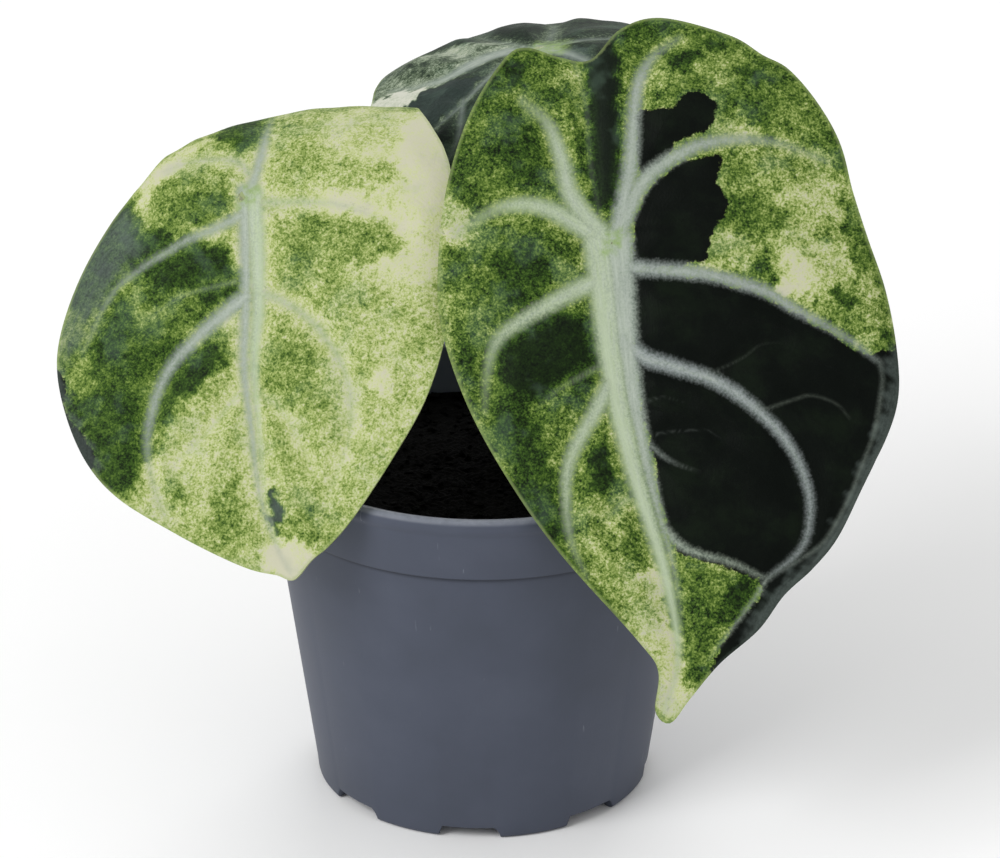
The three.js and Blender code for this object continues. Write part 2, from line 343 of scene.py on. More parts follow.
@dataclass(frozen=True)
class VelvetFinish:
    """The velvet of a blade: mottled panels, silver vein bands and black-green patches.

    Attributes:
        name: The blade's name.
        mottle: How strongly the panels are speckled.
        silver: The colour of the cool vein bands.
        sage: The colour of the warm vein bands.
        patch: The colour of the black-green patches.
        painted_sheen: The colour of the painted grey sheen, where the velvet reflects light at a
            slant.
        panel: The panels' colours, from dark to cream.
        halo: How far the panels lighten beside a vein band, and by how much.
        brightest: The lightness that the speckles never pass.
        fray: How far hairs, tufts and grains move a band's edge, in millimetres.
        band_edge: Where a band starts to show, and where it shows in full.
        patch_edge: The same for a black-green patch.
    """

    name: str
    mottle: float = 1.0
    silver: str = "909799"
    sage: str = "a9b992"
    patch: str = "070c08"
    painted_sheen: str = "66716c"
    panel: tuple[tuple[float, str], ...] = (
        (0.0, "0b130a"), (0.14, "1a2a10"), (0.28, "324c1a"), (0.42, "556e2b"),
        (0.56, "7b8f47"), (0.7, "a3af6d"), (0.84, "bcc193"), (1.0, "bebda5"),
    )
    halo: Point = (3.5, 0.13)
    brightest: float = 1.12
    fray: Place = (0.8, 0.9, 1.4)
    band_edge: Point = (0.8, -2.1)
    patch_edge: Point = (0.3, -0.3)

    def speckled(self, sketch: Sketch) -> Wave:
        """Lays clumps, specks and grains over the blade's painted lightness.

        Args:
            sketch: The material under way.

        Returns:
            The speckled lightness.
        """
        reach, lift = self.halo
        level = sketch.attribute("level") + sketch.attribute("gap").fade(reach, 0.0) * lift
        clumps = sketch.noise(7.0, 4.0, 0.6) * 0.6
        specks = sketch.noise(1.9, 3.0, 0.7) * 0.85
        grains = sketch.noise(0.6, 2.0, 0.7) * 1.05
        room = level * (self.brightest - level) * 3.5 * self.mottle
        return level + (clumps + specks + grains) * room

    def panels(self, sketch: Sketch) -> Socket:
        """Colours the mottled panels, with dark green freckles and a faint bloom.

        Args:
            sketch: The material under way.

        Returns:
            The panels' colour.
        """
        color = sketch.ramp(self.speckled(sketch), *self.panel)
        dots = sketch.noise(1.0, 3.0, 0.75).fade(0.06, 0.15)
        zones = sketch.noise(6.0, 3.0, 0.6).fade(-0.08, 0.1)
        level = sketch.attribute("level")
        light = level.fade(0.35, 0.6) * level.fade(0.95, 0.75)
        color = sketch.mix(dots * zones * light * 0.5, color, "5b7438")
        bloom = sketch.noise(11.0, 3.0, 0.6).fade(0.0, 0.16)
        return sketch.mix(bloom * 0.14, color, "6f8a76")

    def bands(self, sketch: Sketch, color: Socket, grain: Wave, streaks: Wave) -> Socket:
        """Lays the hairy vein bands over the panels.

        Args:
            sketch: The material under way.
            color: The colour so far.
            grain: The velvet's finest noise.
            streaks: Noise drawn out along the veins.

        Returns:
            The colour with its bands.
        """
        gap, strength = sketch.attribute("gap"), sketch.attribute("strength")
        rough = streaks * 0.7 + grain * 1.9
        silk = sketch.mix(sketch.attribute("cool"), self.sage, self.silver)
        silk = sketch.mix(rough + 0.2, silk, "66766a")
        ridge = gap.fade(-0.8, -3.0) * (streaks + 0.32)
        silk = sketch.mix(ridge, silk, "c6cec2")
        hairs, tufts, grains = self.fray
        fray = sketch.weave(0.5, 2.4) * hairs + sketch.weave(1.4, 4.5) * tufts + grain * grains
        band = (gap + fray * (strength * strength)).fade(*self.band_edge)
        color = sketch.mix(band * strength, color, silk)
        core = sketch.attribute("core") * (rough + 0.85)
        return sketch.mix(core * 0.6, color, "b5c3a4")

    def upper(self) -> bpy.types.Material:
        """Makes the upper face's velvet.

        Returns:
            The material.
        """
        sketch = Sketch(f"{self.name}_velvet")
        grain = sketch.noise(0.6, 2.0, 0.6)
        streaks = sketch.weave(4.0, 0.7, 4.0)
        ragged = sketch.noise(4.5, 5.0, 0.6) * 5.5 + grain
        dark = (sketch.attribute("dark") + ragged).fade(*self.patch_edge)
        deep = sketch.ramp(sketch.noise(12.0, 5.0, 0.65) + 0.5,
                           (0.35, "040805"), (0.5, self.patch), (0.68, "0e160d"))
        color = sketch.mix(dark, self.panels(sketch), deep)
        # Painted sheen: grey patches where the velvet would show a slanting reflection.
        painted_sheen = sketch.attribute("painted_sheen") * (grain + streaks + 0.9)
        color = sketch.mix(painted_sheen, color, self.painted_sheen)
        color = self.bands(sketch, color, grain, streaks)
        heart = sketch.attribute("heart") * (sketch.noise(1.5, 3.0, 0.7) * 2.2 + 0.5)
        color = sketch.mix(heart, color, "86a05c")
        edge = (sketch.attribute("rim") + grain).fade(1.0, 0.3)
        color = sketch.mix(edge * 0.4, color, sketch.mix(dark, "93a468", "39423b"))
        sketch.relief(grain * 0.8 + streaks, 0.2, 0.5)
        return sketch.finish(color, 0.55, 0.06)

    def under(self) -> bpy.types.Material:
        """Makes the underside: sage, with the panels showing through faintly.

        Returns:
            The material.
        """
        sketch = Sketch(f"{self.name}_underside")
        color = sketch.ramp(self.speckled(sketch), (0.0, "35442f"), (0.3, "4d613c"),
                            (0.6, "7d8e57"), (0.85, "a6af7d"), (1.0, "b7b996"))
        dark = (sketch.attribute("dark") + sketch.noise(4.5, 4.0) * 7.0).fade(0.8, -0.8)
        color = sketch.mix(dark * 0.8, color, "433d45")
        streaks = sketch.weave(7.0, 0.5, 3.0)
        band = (sketch.attribute("gap") + streaks).fade(0.6, -1.2)
        vein = sketch.mix(streaks + 0.4, "909b77", "756a66")
        color = sketch.mix(band * 0.7, color, vein)
        sketch.relief(streaks + sketch.noise(0.5, 2.0), 0.15, 0.5)
        return sketch.finish(color, 0.5, 0.3)

    def rim(self) -> bpy.types.Material:
        """Makes the blade's thin edge.

        Returns:
            The material.
        """
        sketch = Sketch(f"{self.name}_edge")
        color = sketch.ramp(sketch.noise(4.0, 3.0) + sketch.attribute("level"),
                            (0.1, "435232"), (0.5, "74844a"), (0.9, "a5ae7c"))
        color = sketch.mix(sketch.attribute("dark").fade(1.0, -1.0), color, "2b332c")
        sketch.relief(sketch.noise(0.6), 0.05, 0.4)
        return sketch.finish(color, 0.45, 0.3)


@dataclass(frozen=True)
class StalkFinish:
    """The smooth fleshy skin of a petiole, flecked and streaked along its length.

    Attributes:
        name: The leaf's name.
    """

    name: str

    def build(self) -> bpy.types.Material:
        """Makes the skin.

        Returns:
            The material.
        """
        sketch = Sketch(f"{self.name}_skin")
        climb = sketch.attribute("climb") + sketch.noise(9.0) * 0.3
        color = sketch.ramp(climb, (0.0, "6b5a45"), (0.15, "76744f"), (0.5, "7f8d5a"),
                            (1.0, "93a06e"))
        streaks = sketch.noise(1.2, 4.0, 0.7, (1.0, 1.0, 0.16)).fade(0.02, 0.12)
        color = sketch.mix(streaks * 0.55, color, "5c5348")
        color = sketch.mix(sketch.spots(1.7, 0.34) * 0.5, color, "4e4a3c")
        sketch.relief(sketch.noise(1.0, 3.0, 0.6, (1.0, 1.0, 0.2)), 0.12, 0.5)
        return sketch.finish(color, 0.42, 0.45)


@dataclass(frozen=True)
class CrownFinish:
    """The short stem base: fibrous rings under old leaf scars."""

    def build(self) -> bpy.types.Material:
        """Makes the ringed, fibrous surface.

        Returns:
            The material.
        """
        sketch = Sketch("crown_fibre")
        rings = sketch.noise(2.2, 4.0, 0.65, (0.5, 0.5, 2.6))
        fibres = sketch.noise(1.3, 4.0, 0.7, (1.0, 1.0, 0.2))
        color = sketch.ramp(rings + 0.5, (0.2, "2c2118"), (0.45, "54432d"), (0.6, "6d6743"),
                            (0.85, "8a8a5c"))
        color = sketch.mix(fibres.fade(0.0, 0.2), color, "3a2c1f")
        sketch.relief(rings + fibres, 0.6, 0.8)
        return sketch.finish(color, 0.72, 0.3)


@dataclass(frozen=True)
class PotFinish:
    """Satin moulded plastic in grey-blue, with faint scuffs, thin upright scratches, a painted
    shadow under the collar and a painted highlight along the lip.

    Attributes:
        top: The height of the pot's lip, in metres.
        collar: The height of the collar's lower edge, in metres.
        body: The plastic's colour.
    """

    top: float
    collar: float
    body: str = "4a4f5c"

    def build(self) -> bpy.types.Material:
        """Makes the plastic.

        Returns:
            The material.
        """
        sketch = Sketch("pot_plastic")
        clouds = sketch.noise(28.0, 4.0, 0.6)
        color = sketch.ramp(clouds + 0.5, (0.3, "474c58"), (0.5, self.body), (0.75, "4f5461"))
        scuffs = sketch.noise(3.0, 5.0, 0.75, (1.0, 1.0, 3.5)).fade(0.2, 0.3)
        color = sketch.mix(scuffs * 0.25, color, "5f646f")
        lines = sketch.noise(1.3, 1.0, 0.5, (1.0, 1.0, 0.07)).fade(0.235, 0.275)
        zones = sketch.noise(14.0, 2.0, 0.5).fade(0.05, 0.14)
        color = sketch.mix(lines * zones * 0.4, color, "878d98")
        height = sketch.height()
        shadow = (height.fade(self.collar - 1.6 * MM, self.collar - 0.2 * MM)
                  * height.fade(self.collar + 0.5 * MM, self.collar + 0.2 * MM))
        color = sketch.mix(shadow * 0.6, color, "2b2e36")
        # Painted highlight: a paler, patchy band along the top of the lip, where it would catch the
        # light.
        lip = height.fade(self.top - 1.3 * MM, self.top - 0.2 * MM)
        painted_highlight = sketch.noise(2.0, 3.0, 0.6) * 0.5 + 0.5
        color = sketch.mix(lip * painted_highlight, color, "989da6")
        sketch.relief(sketch.noise(0.5, 3.0, 0.6, (1.0, 1.0, 0.25)), 0.05, 0.35)
        return sketch.finish(color, clouds * 0.25 + 0.47 - lip * 0.2, 0.16)


@dataclass(frozen=True)
class SoilFinish:
    """Dark potting mix, its colours darkened almost to black as painted shade from the leaves
    above.

    Attributes:
        name: The material's name.
        low: The colour of its hollows.
        high: The colour of its highest lumps.
    """

    name: str
    low: str = "010101"
    high: str = "070604"

    def build(self) -> bpy.types.Material:
        """Makes the damp mix.

        Returns:
            The material.
        """
        sketch = Sketch(self.name)
        lumps = sketch.noise(2.4, 6.0, 0.7)
        # Near-black colours: partly the mix's own dark tone, partly painted shade.
        color = sketch.ramp(lumps + 0.5, (0.3, self.low), (0.55, "020201"), (0.8, self.high))
        sketch.relief(lumps + sketch.noise(0.5, 3.0), 0.9, 1.0)
        return sketch.finish(color, lumps * 0.4 + 0.8, 0.05)


# Plan geometry


def smooth_path(points: Sequence[Point], steps: int, closed: bool) -> np.ndarray:
    """Draws a smooth curve through points.

    Args:
        points: The points, in order.
        steps: How many pieces each stretch between two points has.
        closed: Whether the curve returns to its start.

    Returns:
        The curve's points, one to a row.
    """
    control = np.array(points, float)
    if closed:
        control = np.vstack([control[-1:], control, control[:2]])
    else:
        control = np.vstack([2 * control[0] - control[1], control, 2 * control[-1] - control[-2]])
    t = np.linspace(0.0, 1.0, steps, endpoint=False)[:, None]
    stretches = []
    for before, start, end, after in zip(control, control[1:], control[2:], control[3:]):
        slope_in = (end - before) / 2
        slope_out = (after - start) / 2
        change = start - end
        cubic = 2 * change + slope_in + slope_out
        square = -3 * change - 2 * slope_in - slope_out
        stretches.append(start + t * (slope_in + t * (square + t * cubic)))
    if not closed:
        stretches.append(control[-2:-1])
    return np.vstack(stretches)


def evenly(path: np.ndarray, shares: np.ndarray) -> np.ndarray:
    """Finds points along a closed path at even distances.

    Args:
        path: The closed path's points.
        shares: Where along its whole length, from 0 to 1.

    Returns:
        One point for each share.
    """
    loop = np.vstack([path, path[:1]])
    lengths = np.linalg.norm(np.diff(loop, axis=0), axis=1)
    reach = np.concatenate([[0.0], np.cumsum(lengths)])
    where = shares * reach[-1]
    return np.stack([np.interp(where, reach, loop[:, axis]) for axis in (0, 1)], axis=1)


@dataclass(frozen=True)
class Nearest:
    """Where points lie against a path.

    Attributes:
        distance: Each point's distance from the path.
        share: How far along the path its nearest place is, from 0 to 1.
        side: 1 to one side of the path and -1 to the other.
    """

    distance: np.ndarray
    share: np.ndarray
    side: np.ndarray


def nearest_on(points: np.ndarray, path: np.ndarray) -> Nearest:
    """Measures points against a path.

    Args:
        points: The points.
        path: The path's points.

    Returns:
        Where they lie against it.
    """
    best = np.full(len(points), np.inf)
    share = np.zeros(len(points))
    side = np.ones(len(points))
    stretches = len(path) - 1
    for i in range(stretches):
        start, along = path[i], path[i + 1] - path[i]
        offset = points - start
        t = np.clip(offset @ along / max(along @ along, 1e-12), 0.0, 1.0)
        distance = np.linalg.norm(offset - t[:, None] * along, axis=1)
        nearer = distance < best
        best[nearer] = distance[nearer]
        share[nearer] = (i + t[nearer]) / stretches
        turned = along[0] * offset[nearer, 1] - along[1] * offset[nearer, 0]
        side[nearer] = np.where(turned < 0.0, -1.0, 1.0)
    return Nearest(best, share, side)


def inside(points: np.ndarray, loop: np.ndarray) -> np.ndarray:
    """Tells which points are inside a closed loop.

    Args:
        points: The points.
        loop: The loop's points.

    Returns:
        Whether each point is inside.
    """
    result = np.zeros(len(points), bool)
    for (u1, v1), (u2, v2) in zip(loop, np.roll(loop, -1, axis=0)):
        if v1 != v2:
            crosses = (v1 > points[:, 1]) != (v2 > points[:, 1])
            at = u1 + (points[:, 1] - v1) * (u2 - u1) / (v2 - v1)
            result ^= crosses & (points[:, 0] < at)
    return result


def beyond(points: np.ndarray, outline: Sequence[Point]) -> np.ndarray:
    """Measures how far points are from a smooth closed outline.

    Args:
        points: The points.
        outline: The points that the outline runs through.

    Returns:
        Each point's distance, below 0 inside the outline.
    """
    loop = smooth_path(outline, 4, closed=True)
    distance = nearest_on(points, np.vstack([loop, loop[:1]])).distance
    distance[inside(points, loop)] *= -1.0
    return distance


def soft_step(value: np.ndarray) -> np.ndarray:
    """Eases a number from 0 to 1."""
    t = np.clip(value, 0.0, 1.0)
    return t * t * (3.0 - 2.0 * t)


class VeinKind(Enum):
    """How a vein shows on the upper face."""

    BAND = "band"
    CORE = "core"


@dataclass(frozen=True)
class Vein:
    """One vein on a blade's plan.

    Attributes:
        path: The points it runs through.
        start: Half its width where it starts.
        end: Half its width where it ends.
        cool: Its colour, from 0, sage, to 1, silver.
        strength: How much of it shows.
        taper: Over 1, most of the narrowing is near the start.
        last: How much of that strength is left where it ends.
        kind: How it shows.
    """

    path: tuple[Point, ...]
    start: float
    end: float
    cool: float = 0.5
    strength: float = 0.94
    taper: float = 1.0
    last: float = 0.4
    kind: VeinKind = VeinKind.BAND

    def trace(self) -> np.ndarray:
        """Draws its smooth middle line."""
        return smooth_path(self.path, 5, closed=False)

    def shown(self, place: Nearest) -> np.ndarray:
        """Says how much of the vein shows, fading over its second half."""
        return self.strength * (1.0 - (1.0 - self.last) * soft_step(2.0 * place.share - 1.0))

    def gap(self, place: Nearest) -> np.ndarray:
        """Measures the distance from the vein's edge, below 0 inside it."""
        widening = (self.start - self.end) * (1.0 - place.share) ** self.taper
        return place.distance - self.end - widening


@dataclass
class VeinField:
    """What the vein bands come to at each point of a blade.

    The bands' colour and strength blend over BLEND millimetres where bands meet. Each band's hairs
    have their own noise, LANE millimetres from the next one's.

    Attributes:
        gap: The distance from the nearest band's edge, below 0 inside it.
        cool: The bands' colour.
        strength: How much of them shows.
        fibre: The distance along and across the nearest band, and its number.
    """

    gap: np.ndarray
    cool: np.ndarray
    strength: np.ndarray
    fibre: np.ndarray

    FAR: ClassVar[float] = 99.0
    BLEND: ClassVar[float] = 0.7
    LANE: ClassVar[float] = 7.3

    @classmethod
    def measure(cls, plan: np.ndarray, veins: Sequence[Vein]) -> "VeinField":
        """Measures the bands, blended softly where they meet.

        Args:
            plan: Points on the plan.
            veins: The bands.

        Returns:
            The field.
        """
        gap = np.full(len(plan), cls.FAR)
        fibre = np.zeros((len(plan), 3))
        total = np.zeros(len(plan))
        cool = np.zeros(len(plan))
        strength = np.zeros(len(plan))
        for number, vein in enumerate(veins):
            trace = vein.trace()
            place = nearest_on(plan, trace)
            length = np.linalg.norm(np.diff(trace, axis=0), axis=1).sum()
            here = vein.gap(place)
            nearer = here < gap
            gap[nearer] = here[nearer]
            lanes = np.column_stack([place.share * length, place.distance * place.side,
                                     np.full(len(plan), cls.LANE * number)])
            fibre[nearer] = lanes[nearer]
            weight = np.exp(-np.clip(here, -3.0, 40.0) / cls.BLEND)
            total += weight
            cool += weight * vein.cool
            strength += weight * vein.shown(place)
        return cls(gap, cool / total, strength / total, fibre)


@dataclass(frozen=True)
class Patch:
    """A soft oval of one lightness, which fades out by OUTER times its size, over FADING of it.

    Attributes:
        center: Its middle.
        size: Its two radii.
        level: Its lightness, from 0, black-green, to 1, cream.
        turn: How far it is turned, in degrees.
    """

    center: Point
    size: Point
    level: float
    turn: float = 0.0

    OUTER: ClassVar[float] = 1.25
    FADING: ClassVar[float] = 0.5

    def weight(self, points: np.ndarray) -> np.ndarray:
        """Says how much of the patch shows.

        Args:
            points: Points on the plan.

        Returns:
            Each point's share, from 0 to 1.
        """
        angle = math.radians(self.turn)
        offset = points - np.array(self.center)
        across = offset[:, 0] * math.cos(angle) + offset[:, 1] * math.sin(angle)
        along = offset[:, 1] * math.cos(angle) - offset[:, 0] * math.sin(angle)
        reach = np.hypot(across / self.size[0], along / self.size[1])
        return soft_step((self.OUTER - reach) / self.FADING)


@dataclass(frozen=True)
class Region:
    """A soft-edged area of one lightness.

    Attributes:
        outline: The points that its edge runs through.
        level: Its lightness, from 0, black-green, to 1, cream.
        soft: How wide its fading edge is.
    """

    outline: tuple[Point, ...]
    level: float
    soft: float = 3.0

    def weight(self, points: np.ndarray) -> np.ndarray:
        """Says how much of the area shows at each point."""
        return soft_step(0.5 - beyond(points, self.outline) / self.soft)


def stir(plan: np.ndarray, reach: float = 0.9) -> np.ndarray:
    """Shifts plan points a little, so that what is painted has uneven edges.

    Args:
        plan: Points on the plan.
        reach: About how far they move.

    Returns:
        The shifted points.
    """
    u, v = plan[:, 0], plan[:, 1]
    across = np.sin(v * 0.83 + 1.3 * np.sin(u * 0.31)) + 0.7 * np.sin(v * 1.9 - u * 1.3)
    along = np.sin(u * 0.71 + 1.1 * np.sin(v * 0.37)) + 0.7 * np.sin(u * 1.7 + v * 1.1)
    return plan + reach * np.column_stack([across, along])


def paint(plan: np.ndarray, base: float, areas: Sequence[Patch | Region]) -> np.ndarray:
    """Lays areas over one another.

    Args:
        plan: Points on the plan.
        base: The value where no area is.
        areas: The areas, in order.

    Returns:
        The value at each point.
    """
    value = np.full(len(plan), base)
    stirred = stir(plan)
    for area in areas:
        weight = area.weight(stirred)
        value = value * (1.0 - weight) + area.level * weight
    return value


@dataclass(frozen=True)
class Bend:
    """A roll of the sheet away from its face, about a straight line.

    Attributes:
        direction: Its direction in degrees from the tip, 90 being +u.
        start: Where it starts along that direction.
        stop: Where it stops.
        radius: The roll's radius.
    """

    direction: float
    start: float
    stop: float
    radius: float

    def apply(self, points: np.ndarray) -> np.ndarray:
        """Rolls the sheet.

        Args:
            points: Points given as u, v and height.

        Returns:
            The same points, rolled.
        """
        turn = math.radians(self.direction)
        across, along = math.sin(turn), math.cos(turn)
        reach = points[:, 0] * across + points[:, 1] * along
        height = points[:, 2]
        angle = np.clip(reach - self.start, 0.0, self.stop - self.start) / self.radius
        rest = np.maximum(reach - self.stop, 0.0)
        sine, cosine = np.sin(angle), np.cos(angle)
        moved = (np.minimum(reach, self.start) + self.radius * sine + rest * cosine
                 + height * sine)
        result = points.copy()
        result[:, 0] += (moved - reach) * across
        result[:, 1] += (moved - reach) * along
        result[:, 2] = height * cosine - self.radius * (1.0 - cosine) - rest * sine
        return result


# Mesh helpers


def deselect() -> None:
    """Leaves nothing selected."""
    if bpy.context.object and bpy.context.object.mode != "OBJECT":
        bpy.ops.object.mode_set(mode="OBJECT")
    bpy.ops.object.select_all(action="DESELECT")


def add_sheet(name: str, columns: int, rows: int) -> tuple[bpy.types.Object, np.ndarray]:
    """Adds a flat grid to be shaped.

    Args:
        name: The piece's name.
        columns: How many faces it has across.
        rows: How many faces it has along.

    Returns:
        The piece, and each vertex's place across and along, from 0 to 1.
    """
    deselect()
    bpy.ops.mesh.primitive_grid_add(x_subdivisions=columns, y_subdivisions=rows, size=2.0)
    piece = bpy.context.object
    piece.name = piece.data.name = name
    return piece, (read_points(piece)[:, :2] + 1.0) / 2.0


def read_points(piece: bpy.types.Object) -> np.ndarray:
    """Reads a mesh's vertices.

    Args:
        piece: The piece.

    Returns:
        Their places, one to a row.
    """
    flat = np.empty(3 * len(piece.data.vertices))
    piece.data.vertices.foreach_get("co", flat)
    return flat.reshape(-1, 3)


def write_points(piece: bpy.types.Object, points: np.ndarray) -> None:
    """Moves a mesh's vertices."""
    piece.data.vertices.foreach_set("co", points.ravel())
    piece.data.update()


def store(piece: bpy.types.Object, name: str, values: np.ndarray) -> None:
    """Stores a number or a vector at each vertex, for the materials to read.

    Args:
        piece: The piece.
        name: The name that the materials read it by.
        values: One number or one row for each vertex.
    """
    kind, field_name = ("FLOAT", "value") if values.ndim == 1 else ("FLOAT_VECTOR", "vector")
    layer = piece.data.attributes.new(name, kind, "POINT")
    layer.data.foreach_set(field_name, values.astype(np.float32).ravel())


def grasp(piece: bpy.types.Object) -> None:
    """Selects one piece alone.

    Args:
        piece: The piece.
    """
    deselect()
    piece.select_set(True)
    bpy.context.view_layer.objects.active = piece


def rework(piece: bpy.types.Object, *steps: Callable[[], object]) -> None:
    """Runs edit mode steps on the whole of a piece.

    Args:
        piece: The piece.
        steps: The steps, in order.
    """
    grasp(piece)
    bpy.ops.object.mode_set(mode="EDIT")
    bpy.ops.mesh.select_all(action="SELECT")
    for step in steps:
        step()
    bpy.ops.object.mode_set(mode="OBJECT")


def merge() -> None:
    """Merges the doubled vertices of what is selected in edit mode."""
    bpy.ops.mesh.remove_doubles(threshold=1e-6)


def face_outwards() -> None:
    """Turns the faces that are selected in edit mode outwards."""
    bpy.ops.mesh.normals_make_consistent(inside=False)


def smooth(piece: bpy.types.Object, degrees: float) -> None:
    """Shades a piece smooth where its faces meet at less than an angle."""
    grasp(piece)
    bpy.ops.object.shade_smooth_by_angle(angle=math.radians(degrees))


def close(piece: bpy.types.Object, degrees: float, material: bpy.types.Material) -> None:
    """Welds a closed piece, shades it and gives it its material.

    Args:
        piece: The piece, which its seams and poles still leave open.
        degrees: The angle from which its edges stay sharp.
        material: Its material.
    """
    rework(piece, merge, face_outwards)
    smooth(piece, degrees)
    piece.data.materials.append(material)


def settle(piece: bpy.types.Object, slot: str, replaces: bool = True) -> None:
    """Ties a finished piece to the frame.

    Args:
        piece: The piece.
        slot: The CAD node that it goes with.
        replaces: Whether it stands for that node.
    """
    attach(piece, "root")
    if replaces:
        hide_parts(slot)
    LOG.info("%s: %d vertices", piece.name, len(piece.data.vertices))


# Blades


@dataclass
class Blade:
    """One leaf blade: a quilted velvet sheet rolled into its drooping form.

    A rib on the underside starts RIB_EDGE millimetres outside its band, rises over RIB_FLANK
    millimetres, and fades out over the last RIB_FADE millimetres before the margin.

    Attributes:
        name: The leaf's name.
        attachment: Where the petiole meets the upper face.
        tip: The direction of the tip at the attachment.
        face: The direction that the upper face looks in there.
        hub: The plan point that the mesh's spokes run from.
        fold: The slope of each half up from the midrib, in degrees.
        bends: The rolls that give the form, in order.
        outline: The margin.
        veins: The veins.
        base: The lightness where no area is.
        areas: The areas of other lightness, in order.
        velvet: The upper face's finish.
        dark: Closed outlines of the black-green patches.
        painted_sheen: Areas of painted grey sheen, whose levels are its strength.
        quilt: How far the panels stand above the veins.
        heart: The green blotch where the petiole meets the blade.
        thickness: The sheet's thickness.
        inset: How far the margin stays inside the CAD outline.
        softness: How wide the bottom of the fold is.
        rise: How far from a vein or the margin a panel reaches its full height.
        rib: How far the veins stand out on the underside.
        spokes: How many faces the mesh has round its hub.
        rings: How many it has from the hub to the margin.
    """

    name: str
    attachment: Place
    tip: Place
    face: Place
    hub: Point
    fold: float
    bends: tuple[Bend, ...]
    outline: tuple[Point, ...]
    veins: tuple[Vein, ...]
    base: float
    areas: tuple[Patch | Region, ...]
    velvet: VelvetFinish
    dark: tuple[tuple[Point, ...], ...] = ()
    painted_sheen: tuple[Patch | Region, ...] = ()
    quilt: float = 1.0
    heart: Patch = Patch((0.3, -0.5), (2.9, 3.6), 1.0)
    thickness: float = 0.8
    inset: float = 0.3
    softness: float = 4.0
    rise: float = 9.0
    rib: float = 0.7
    spokes: int = 430
    rings: int = 112

    RIB_EDGE: ClassVar[float] = 0.4
    RIB_FLANK: ClassVar[float] = 3.0
    RIB_FADE: ClassVar[float] = 6.0

    def axes(self) -> tuple[np.ndarray, np.ndarray, np.ndarray]:
        """Finds how the flat plan lies.

        Returns:
            The unit directions of u, v and the upper face.
        """
        tip = np.array(self.tip) / np.linalg.norm(self.tip)
        face = np.array(self.face) - np.dot(self.face, tip) * tip
        face /= np.linalg.norm(face)
        return np.cross(face, tip), tip, face

    def form(self, plan: np.ndarray, height: np.ndarray) -> np.ndarray:
        """Rolls plan points into the blade's place.

        Args:
            plan: Points on the flat plan.
            height: How far each stands above it.

        Returns:
            Points in the row frame, in metres.
        """
        rise = np.hypot(plan[:, 0], self.softness) - self.softness
        fold = rise * math.tan(math.radians(self.fold))
        points = np.column_stack([plan, fold + height])
        for bend in self.bends:
            points = bend.apply(points)
        side, tip, face = self.axes()
        spread = points[:, :1] * side + points[:, 1:2] * tip + points[:, 2:] * face
        return (np.array(self.attachment) + spread) * MM

    def margin(self) -> np.ndarray:
        """Draws the margin just inside the CAD outline.

        Returns:
            Its points on the plan.
        """
        path = smooth_path(self.outline, 12, closed=True)
        spoke = path - np.array(self.hub)
        reach = np.linalg.norm(spoke, axis=1, keepdims=True)
        return np.array(self.hub) + spoke * (1.0 - self.inset / reach)

    def core(self, plan: np.ndarray) -> np.ndarray:
        """Says how much of the bright line along the midrib shows.

        Args:
            plan: Points on the plan.

        Returns:
            Each point's share, from 0 to 1.
        """
        shown = np.zeros(len(plan))
        for vein in self.veins:
            if vein.kind is VeinKind.CORE:
                place = nearest_on(plan, vein.trace())
                start = soft_step(place.share / 0.12)
                shown = np.maximum(shown, start * soft_step((0.6 - vein.gap(place)) / 2.0))
        return shown

    def darkness(self, plan: np.ndarray) -> np.ndarray:
        """Measures the distance from the black-green patches, below 0 inside them."""
        return np.min([beyond(plan, outline) for outline in self.dark], axis=0)

    def relief(self, plan: np.ndarray, gap: np.ndarray, rim: np.ndarray) -> np.ndarray:
        """Raises the panels between the veins, and lets them undulate.

        Args:
            plan: Points on the plan.
            gap: Their distance from the vein bands.
            rim: Their distance from the margin.

        Returns:
            Each point's height above the plain form.
        """
        u, v = plan[:, 0], plan[:, 1]
        waves = 0.5 * np.sin(u * 0.21 + v * 0.13) * np.cos(v * 0.17 - u * 0.08)
        waves += 0.25 * np.sin(u * 0.47 - v * 0.39 + 1.0)
        panels = soft_step((gap + 2.0) / self.rise) - 0.75
        return self.quilt * (panels + 0.3 * waves) * soft_step(rim / self.rise)

    def build(self) -> bpy.types.Object:
        """Models the blade and stores what its materials read.

        Returns:
            The piece.
        """
        piece, shares = add_sheet(f"{self.name}_velvet_blade", self.spokes, self.rings)
        margin = evenly(self.margin(), shares[:, 0] % 1.0)
        plan = np.array(self.hub) + (margin - self.hub) * shares[:, 1:]
        write_points(piece, np.column_stack([plan, np.zeros(len(plan))]) * MM)
        rework(piece, merge)
        plan = read_points(piece)[:, :2] / MM
        loop = self.margin()[::3]
        rim = nearest_on(plan, np.vstack([loop, loop[:1]])).distance
        bands = [vein for vein in self.veins if vein.kind is VeinKind.BAND]
        field = VeinField.measure(plan, bands)
        write_points(piece, self.form(plan, self.relief(plan, field.gap, rim)))
        for name, values in (("gap", field.gap), ("cool", field.cool), ("rim", rim),
                             ("strength", field.strength), ("fibre", field.fibre),
                             ("core", self.core(plan)), ("dark", self.darkness(plan)),
                             ("level", paint(plan, self.base, self.areas)),
                             ("painted_sheen", paint(plan, 0.0, self.painted_sheen)),
                             ("heart", self.heart.weight(stir(plan)))):
            store(piece, name, values)
        normals = np.empty(3 * len(piece.data.polygons))
        piece.data.polygons.foreach_get("normal", normals)
        if (normals.reshape(-1, 3) @ self.axes()[2]).mean() < 0.0:
            rework(piece, bpy.ops.mesh.flip_normals)
        self.thicken(piece, rim)
        return piece

